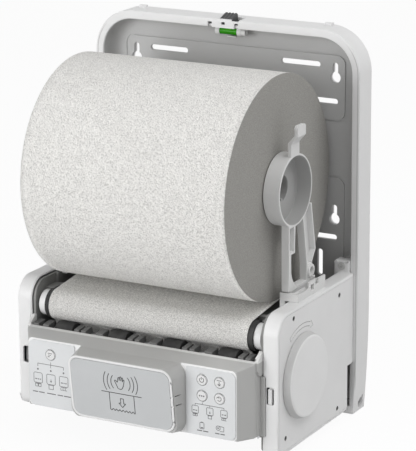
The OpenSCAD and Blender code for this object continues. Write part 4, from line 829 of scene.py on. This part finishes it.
def smooth(places, count):
    # rounds a closed outline: each point becomes the mean of itself and its neighbours, three times over
    line = np.repeat(np.array(places, dtype=float), count, axis=0)
    for _ in range(3):
        line = (np.roll(line, 1, axis=0) + line + np.roll(line, -1, axis=0)) / 3
    return np.concatenate([line, line[:1]])


# sign on the sensor's plate: an open hand with waves to both sides, and an arrow on a torn sheet below a slot
handSet = {
    "thumb": [(-1.9, -6.2), (-3.2, -3.8), (-5.6, -0.8), (-6.2, 0.6), (-4.9, 0.9), (-3.0, -0.9)],
    "fingers": [(-3.2, 3.9), (-2.5, 4.9), (-1.8, 3.9), (-1.6, 1.2), (-1.5, 5.2), (-0.8, 6.2), (-0.1, 5.2),
                (0.0, 1.4), (0.3, 4.9), (1.0, 5.8), (1.6, 4.8), (1.5, 1.2), (2.0, 3.6), (2.7, 4.3),
                (3.2, 3.4)],
    "heel": [(3.1, -2.0), (2.5, -4.4), (1.4, -6.2)],
    "lean": -12.0, "middle": (0.6, 10.4),
    # radius and half the angle of each wave
    "waves": ((9.6, 40), (13.2, 34), (16.9, 31)), "waveMiddle": (0.5, 10.4),
    "slot": ((-19.6, -0.2), (20.6, -0.2)),
    "sheetX": (-11.8, 12.8), "sheetY": (-0.4, -17.0), "tearY": -16.6, "tearDepth": 0.75, "tearRate": 1.9,
    "tearSteps": 160,
    "arrow": [(-1.0, -4.8), (-1.0, -9.4), (-2.9, -9.4), (0.5, -13.2), (3.9, -9.4), (2.0, -9.4), (2.0, -4.8),
              (-1.0, -4.8)],
}


def handSign(s):
    hand = smooth(s["thumb"] + s["fingers"] + s["heel"], 4)
    turn = math.radians(s["lean"])
    spin = np.array([[math.cos(turn), math.sin(turn)], [-math.sin(turn), math.cos(turn)]])
    hand = hand @ spin + s["middle"]
    waves = [ring(*s["waveMiddle"], r, mid - half, mid + half) for mid in (0, 180) for r, half in s["waves"]]
    (left, right), (top, bottom) = s["sheetX"], s["sheetY"]
    edge = np.linspace(left, right, s["tearSteps"])
    torn = np.stack([edge, s["tearY"] + s["tearDepth"] * np.sin(edge * s["tearRate"])], axis=-1)
    sheet = [path((left, top), (left, bottom)), torn, path((right, bottom), (right, top))]
    return [hand, *waves, path(*s["slot"]), *sheet, path(*s["arrow"])]


def machineSign(x, y, w, h, kind):
    # small front view of a dispenser, with two sheets, one long sheet or three short ones below its slot
    slot = y - h / 2 - 0.08 * w

    def below(u, v):  # a place right of and under the slot's middle, in widths of the sign
        return x + u * w, slot - v * w

    case = [roundBox(x, y, w, h, 0.16 * w), path(below(-0.34, 0), below(0.34, 0))]
    if kind == 0:
        return case + [roundBox(*below(k, 0.18), 0.30 * w, 0.30 * w, 0.05 * w) for k in (-0.18, 0.18)]
    if kind == 2:
        return case + [path(below(k, 0.06), below(k, 0.3), below(k + 0.2, 0.3)) for k in (-0.36, -0.1, 0.16)]
    sheet = path(below(-0.26, 0), below(-0.26, 0.42), below(0.26, 0.42), below(0.26, 0))
    stem = path((x, y + 0.02 * h), (x, y - 0.26 * h))
    head = path((x - 0.1 * w, y - 0.14 * h), (x, y - 0.27 * h), (x + 0.1 * w, y - 0.14 * h))
    return case + [sheet, stem, head]


def branch(x, top, bar, feet, drop):
    trunk = [path((x, top), (x, bar)), path((feet[0], bar), (feet[-1], bar))]
    return trunk + [path((foot, bar), (foot, drop)) for foot in feet]


def level(y, *spans):
    return [path((a, y), (b, y)) for a, b in spans]


# places across of the small machines below each branch, then the height of their middle and their size
leftFeet, rightFeet = (-94.2, -80.8, -67.6), (64.7, 79.0, 92.7)
leftSize, rightSize = (54.9, 8.8, 9.4), (51.7, 6.3, 6.7)
leftSigns = branch(-80.7, 71.0, 68.4, leftFeet, 65.6)
rightSigns = branch(71.7, 58.9, 57.0, rightFeet, 55.6)
for kind, (a, b) in enumerate(zip(leftFeet, rightFeet)):
    leftSigns += machineSign(a, *leftSize, kind)
    rightSigns += machineSign(b, *rightSize, kind)
# a battery and a roll
rightSigns += [roundBox(71.2, 37.7, 4.0, 5.6, 0.6), path((70.3, 41.0), (72.1, 41.0)), ring(87.0, 38.1, 2.0),
               ring(87.0, 38.1, 0.6, count=13), path((87.0, 40.1), (92.5, 39.6), (92.5, 35.6), (88.6, 35.2))]
# thick marks: lamps above the signs, their displays, the battery's charge and lines in place of captions
leftBars = [ring(x, 63.0, 0.45, count=13) for x in leftFeet]
for x in leftFeet[::2]:
    leftBars += level(53.6, (x - 3.0, x - 0.9), (x - 0.2, x + 0.9), (x + 1.6, x + 3.0))
leftBars += level(41.6, (-100.0, -94.6), (-93.7, -87.8), (-85.2, -76.1), (-74.3, -68.6), (-67.7, -60.6))
rightBars = []
for x in rightFeet[::2]:
    rightBars += level(50.9, (x - 2.0, x - 0.5), (x + 0.3, x + 2.0))
rightBars += level(35.9, (70.0, 72.4)) + level(33.0, (66.4, 71.4), (72.3, 77.4), (84.0, 88.3), (89.2, 93.4))
printOn("sensor_print", handSign(handSet), printSet["sensor"], onSensor, "housing", "ink")
printOn("left_print", leftSigns, printSet["label"], onFront, "housing", "inkPale")
printOn("left_bars", leftBars, printSet["bar"], onFront, "housing", "inkPale")
printOn("right_print", rightSigns, printSet["label"], onFront, "housing", "inkPale")
printOn("right_bars", rightBars, printSet["bar"], onFront, "housing", "inkPale")

# signs on the keys, each in a ring: power, one sheet down, three dots, turn back, three lengths
keySigns = {
    "power_key": ((71.6, 79.4), [ring(0, 0, 2.0, 120, 420), path((0, 0.4), (0, 2.7))]),
    "feed_key": ((88.6, 79.4), [path((-2.2, 2.0), (2.2, 2.0)), path((0, 1.2), (0, -2.4)),
                                path((-1.4, -0.9), (0, -2.5), (1.4, -0.9))]),
    "mode_key": ((71.6, 65.0), [ring(x, 0, 0.45, count=13) for x in (-2.0, 0, 2.0)]),
    "return_key": ((88.6, 65.0), [ring(0, 0, 1.9, -140, 130), path((-2.6, 0.3), (-1.3, 1.6), (0.0, 0.4))]),
    "length_key": ((-80.7, 78.0), [path((-2.2, y), (end, y))
                                   for y, end in ((1.5, 2.2), (0, 0.9), (-1.5, -0.4))]),
}
for body, ((x, y), strokes) in keySigns.items():
    printOn(body + "_print", [line + (x, y) for line in strokes], printSet["key"], onFront, body, "ink")
    edge = ring(x, y, printSet["keyRing"]["radius"])
    printOn(body + "_ring", [edge], printSet["keyRing"], onFront, body, "inkPale")
print("printed plates and keys")

# studio: even soft light all round, a key from the front left, weaker fills from the right, white behind
studioSet = {
    "sky": 0.44, "horizon": 0.40, "floor": (0.70, 0.70, 0.70), "floorSeen": (0.95, 0.95, 0.95), "glow": 0.94,
    "floorHalf": 6.0, "floorZ": -0.001, "aim": (0, -0.1, 0.18),
    "lamps": {
        "key": {"azimuth": -25, "elevation": 7, "distance": 1.9, "size": 1.1, "power": 18.5},
        "front": {"azimuth": 30, "elevation": 32, "distance": 1.9, "size": 1.4, "power": 3.6},
        "above": {"azimuth": 100, "elevation": 54, "distance": 1.9, "size": 1.4, "power": 13.5},
    },
}


def addLamp(name, s, aim):
    az, el = math.radians(s["azimuth"]), math.radians(s["elevation"])
    lamp = bpy.data.lights.new(name, "AREA")
    lamp.shape, lamp.size, lamp.energy = "DISK", s["size"], s["power"]
    obj = bpy.data.objects.new(name, lamp)
    away = Vector((math.sin(az) * math.cos(el), -math.cos(az) * math.cos(el), math.sin(el)))
    obj.location = Vector(aim) + away * s["distance"]
    obj.rotation_euler = away.to_track_quat("Z", "Y").to_euler()
    scene.collection.objects.link(obj)


def seenDirectly(make):  # 1 for rays that show the backdrop: straight, in gloss or through glass
    paths = make.tree.nodes.new("ShaderNodeLightPath")
    rays = ("Is Camera Ray", "Is Glossy Ray", "Is Transmission Ray")
    straight, gloss, glass = (Val(make.tree, paths.outputs[ray]) for ray in rays)
    return make.calc("MAXIMUM", make.calc("MAXIMUM", straight, gloss), glass)


def makeStudio(s):
    world = bpy.data.worlds.new("studio")
    world.use_nodes = True
    world.node_tree.nodes.clear()
    make = Val(world.node_tree)
    up = make.add("ShaderNodeTexCoord", {}, {}, "Generated").part("Z")
    sky = s["horizon"] + up.ramp(0.0, 1.0) * (s["sky"] - s["horizon"])
    shown = seenDirectly(make)
    strength = sky * (1 - shown) + shown
    back = make.add("ShaderNodeBackground", {}, {"Color": (1, 1, 1, 1), "Strength": strength})
    make.add("ShaderNodeOutputWorld", {}, {"Surface": back})
    scene.world = world
    for name, lamp in s["lamps"].items():
        addLamp(name, lamp, s["aim"])

    material, make, _ = newMaterial("studioFloor")
    dull = make.add("ShaderNodeBsdfDiffuse", {}, {"Color": (*s["floor"], 1)})
    pale = make.add("ShaderNodeBsdfDiffuse", {}, {"Color": (*s["floorSeen"], 1)})
    glow = make.add("ShaderNodeEmission", {}, {"Color": (1, 1, 1, 1), "Strength": 1.0})
    white = make.add("ShaderNodeMixShader", {}, {0: s["glow"], 1: pale, 2: glow})
    shownFloor = make.add("ShaderNodeMixShader", {}, {0: seenDirectly(make), 1: dull, 2: white})
    make.add("ShaderNodeOutputMaterial", {}, {"Surface": shownFloor})
    reach = np.array([-s["floorHalf"], s["floorHalf"]])
    gridX, gridY = np.meshgrid(reach, reach)
    mesh = gridMesh("studio_floor", np.stack([gridX, gridY, np.full_like(gridX, s["floorZ"])], axis=-1))
    mesh.materials.append(material)
    floor = bpy.data.objects.new("studio_floor", mesh)
    scene.collection.objects.link(floor)


makeStudio(studioSet)
print("studio ready")
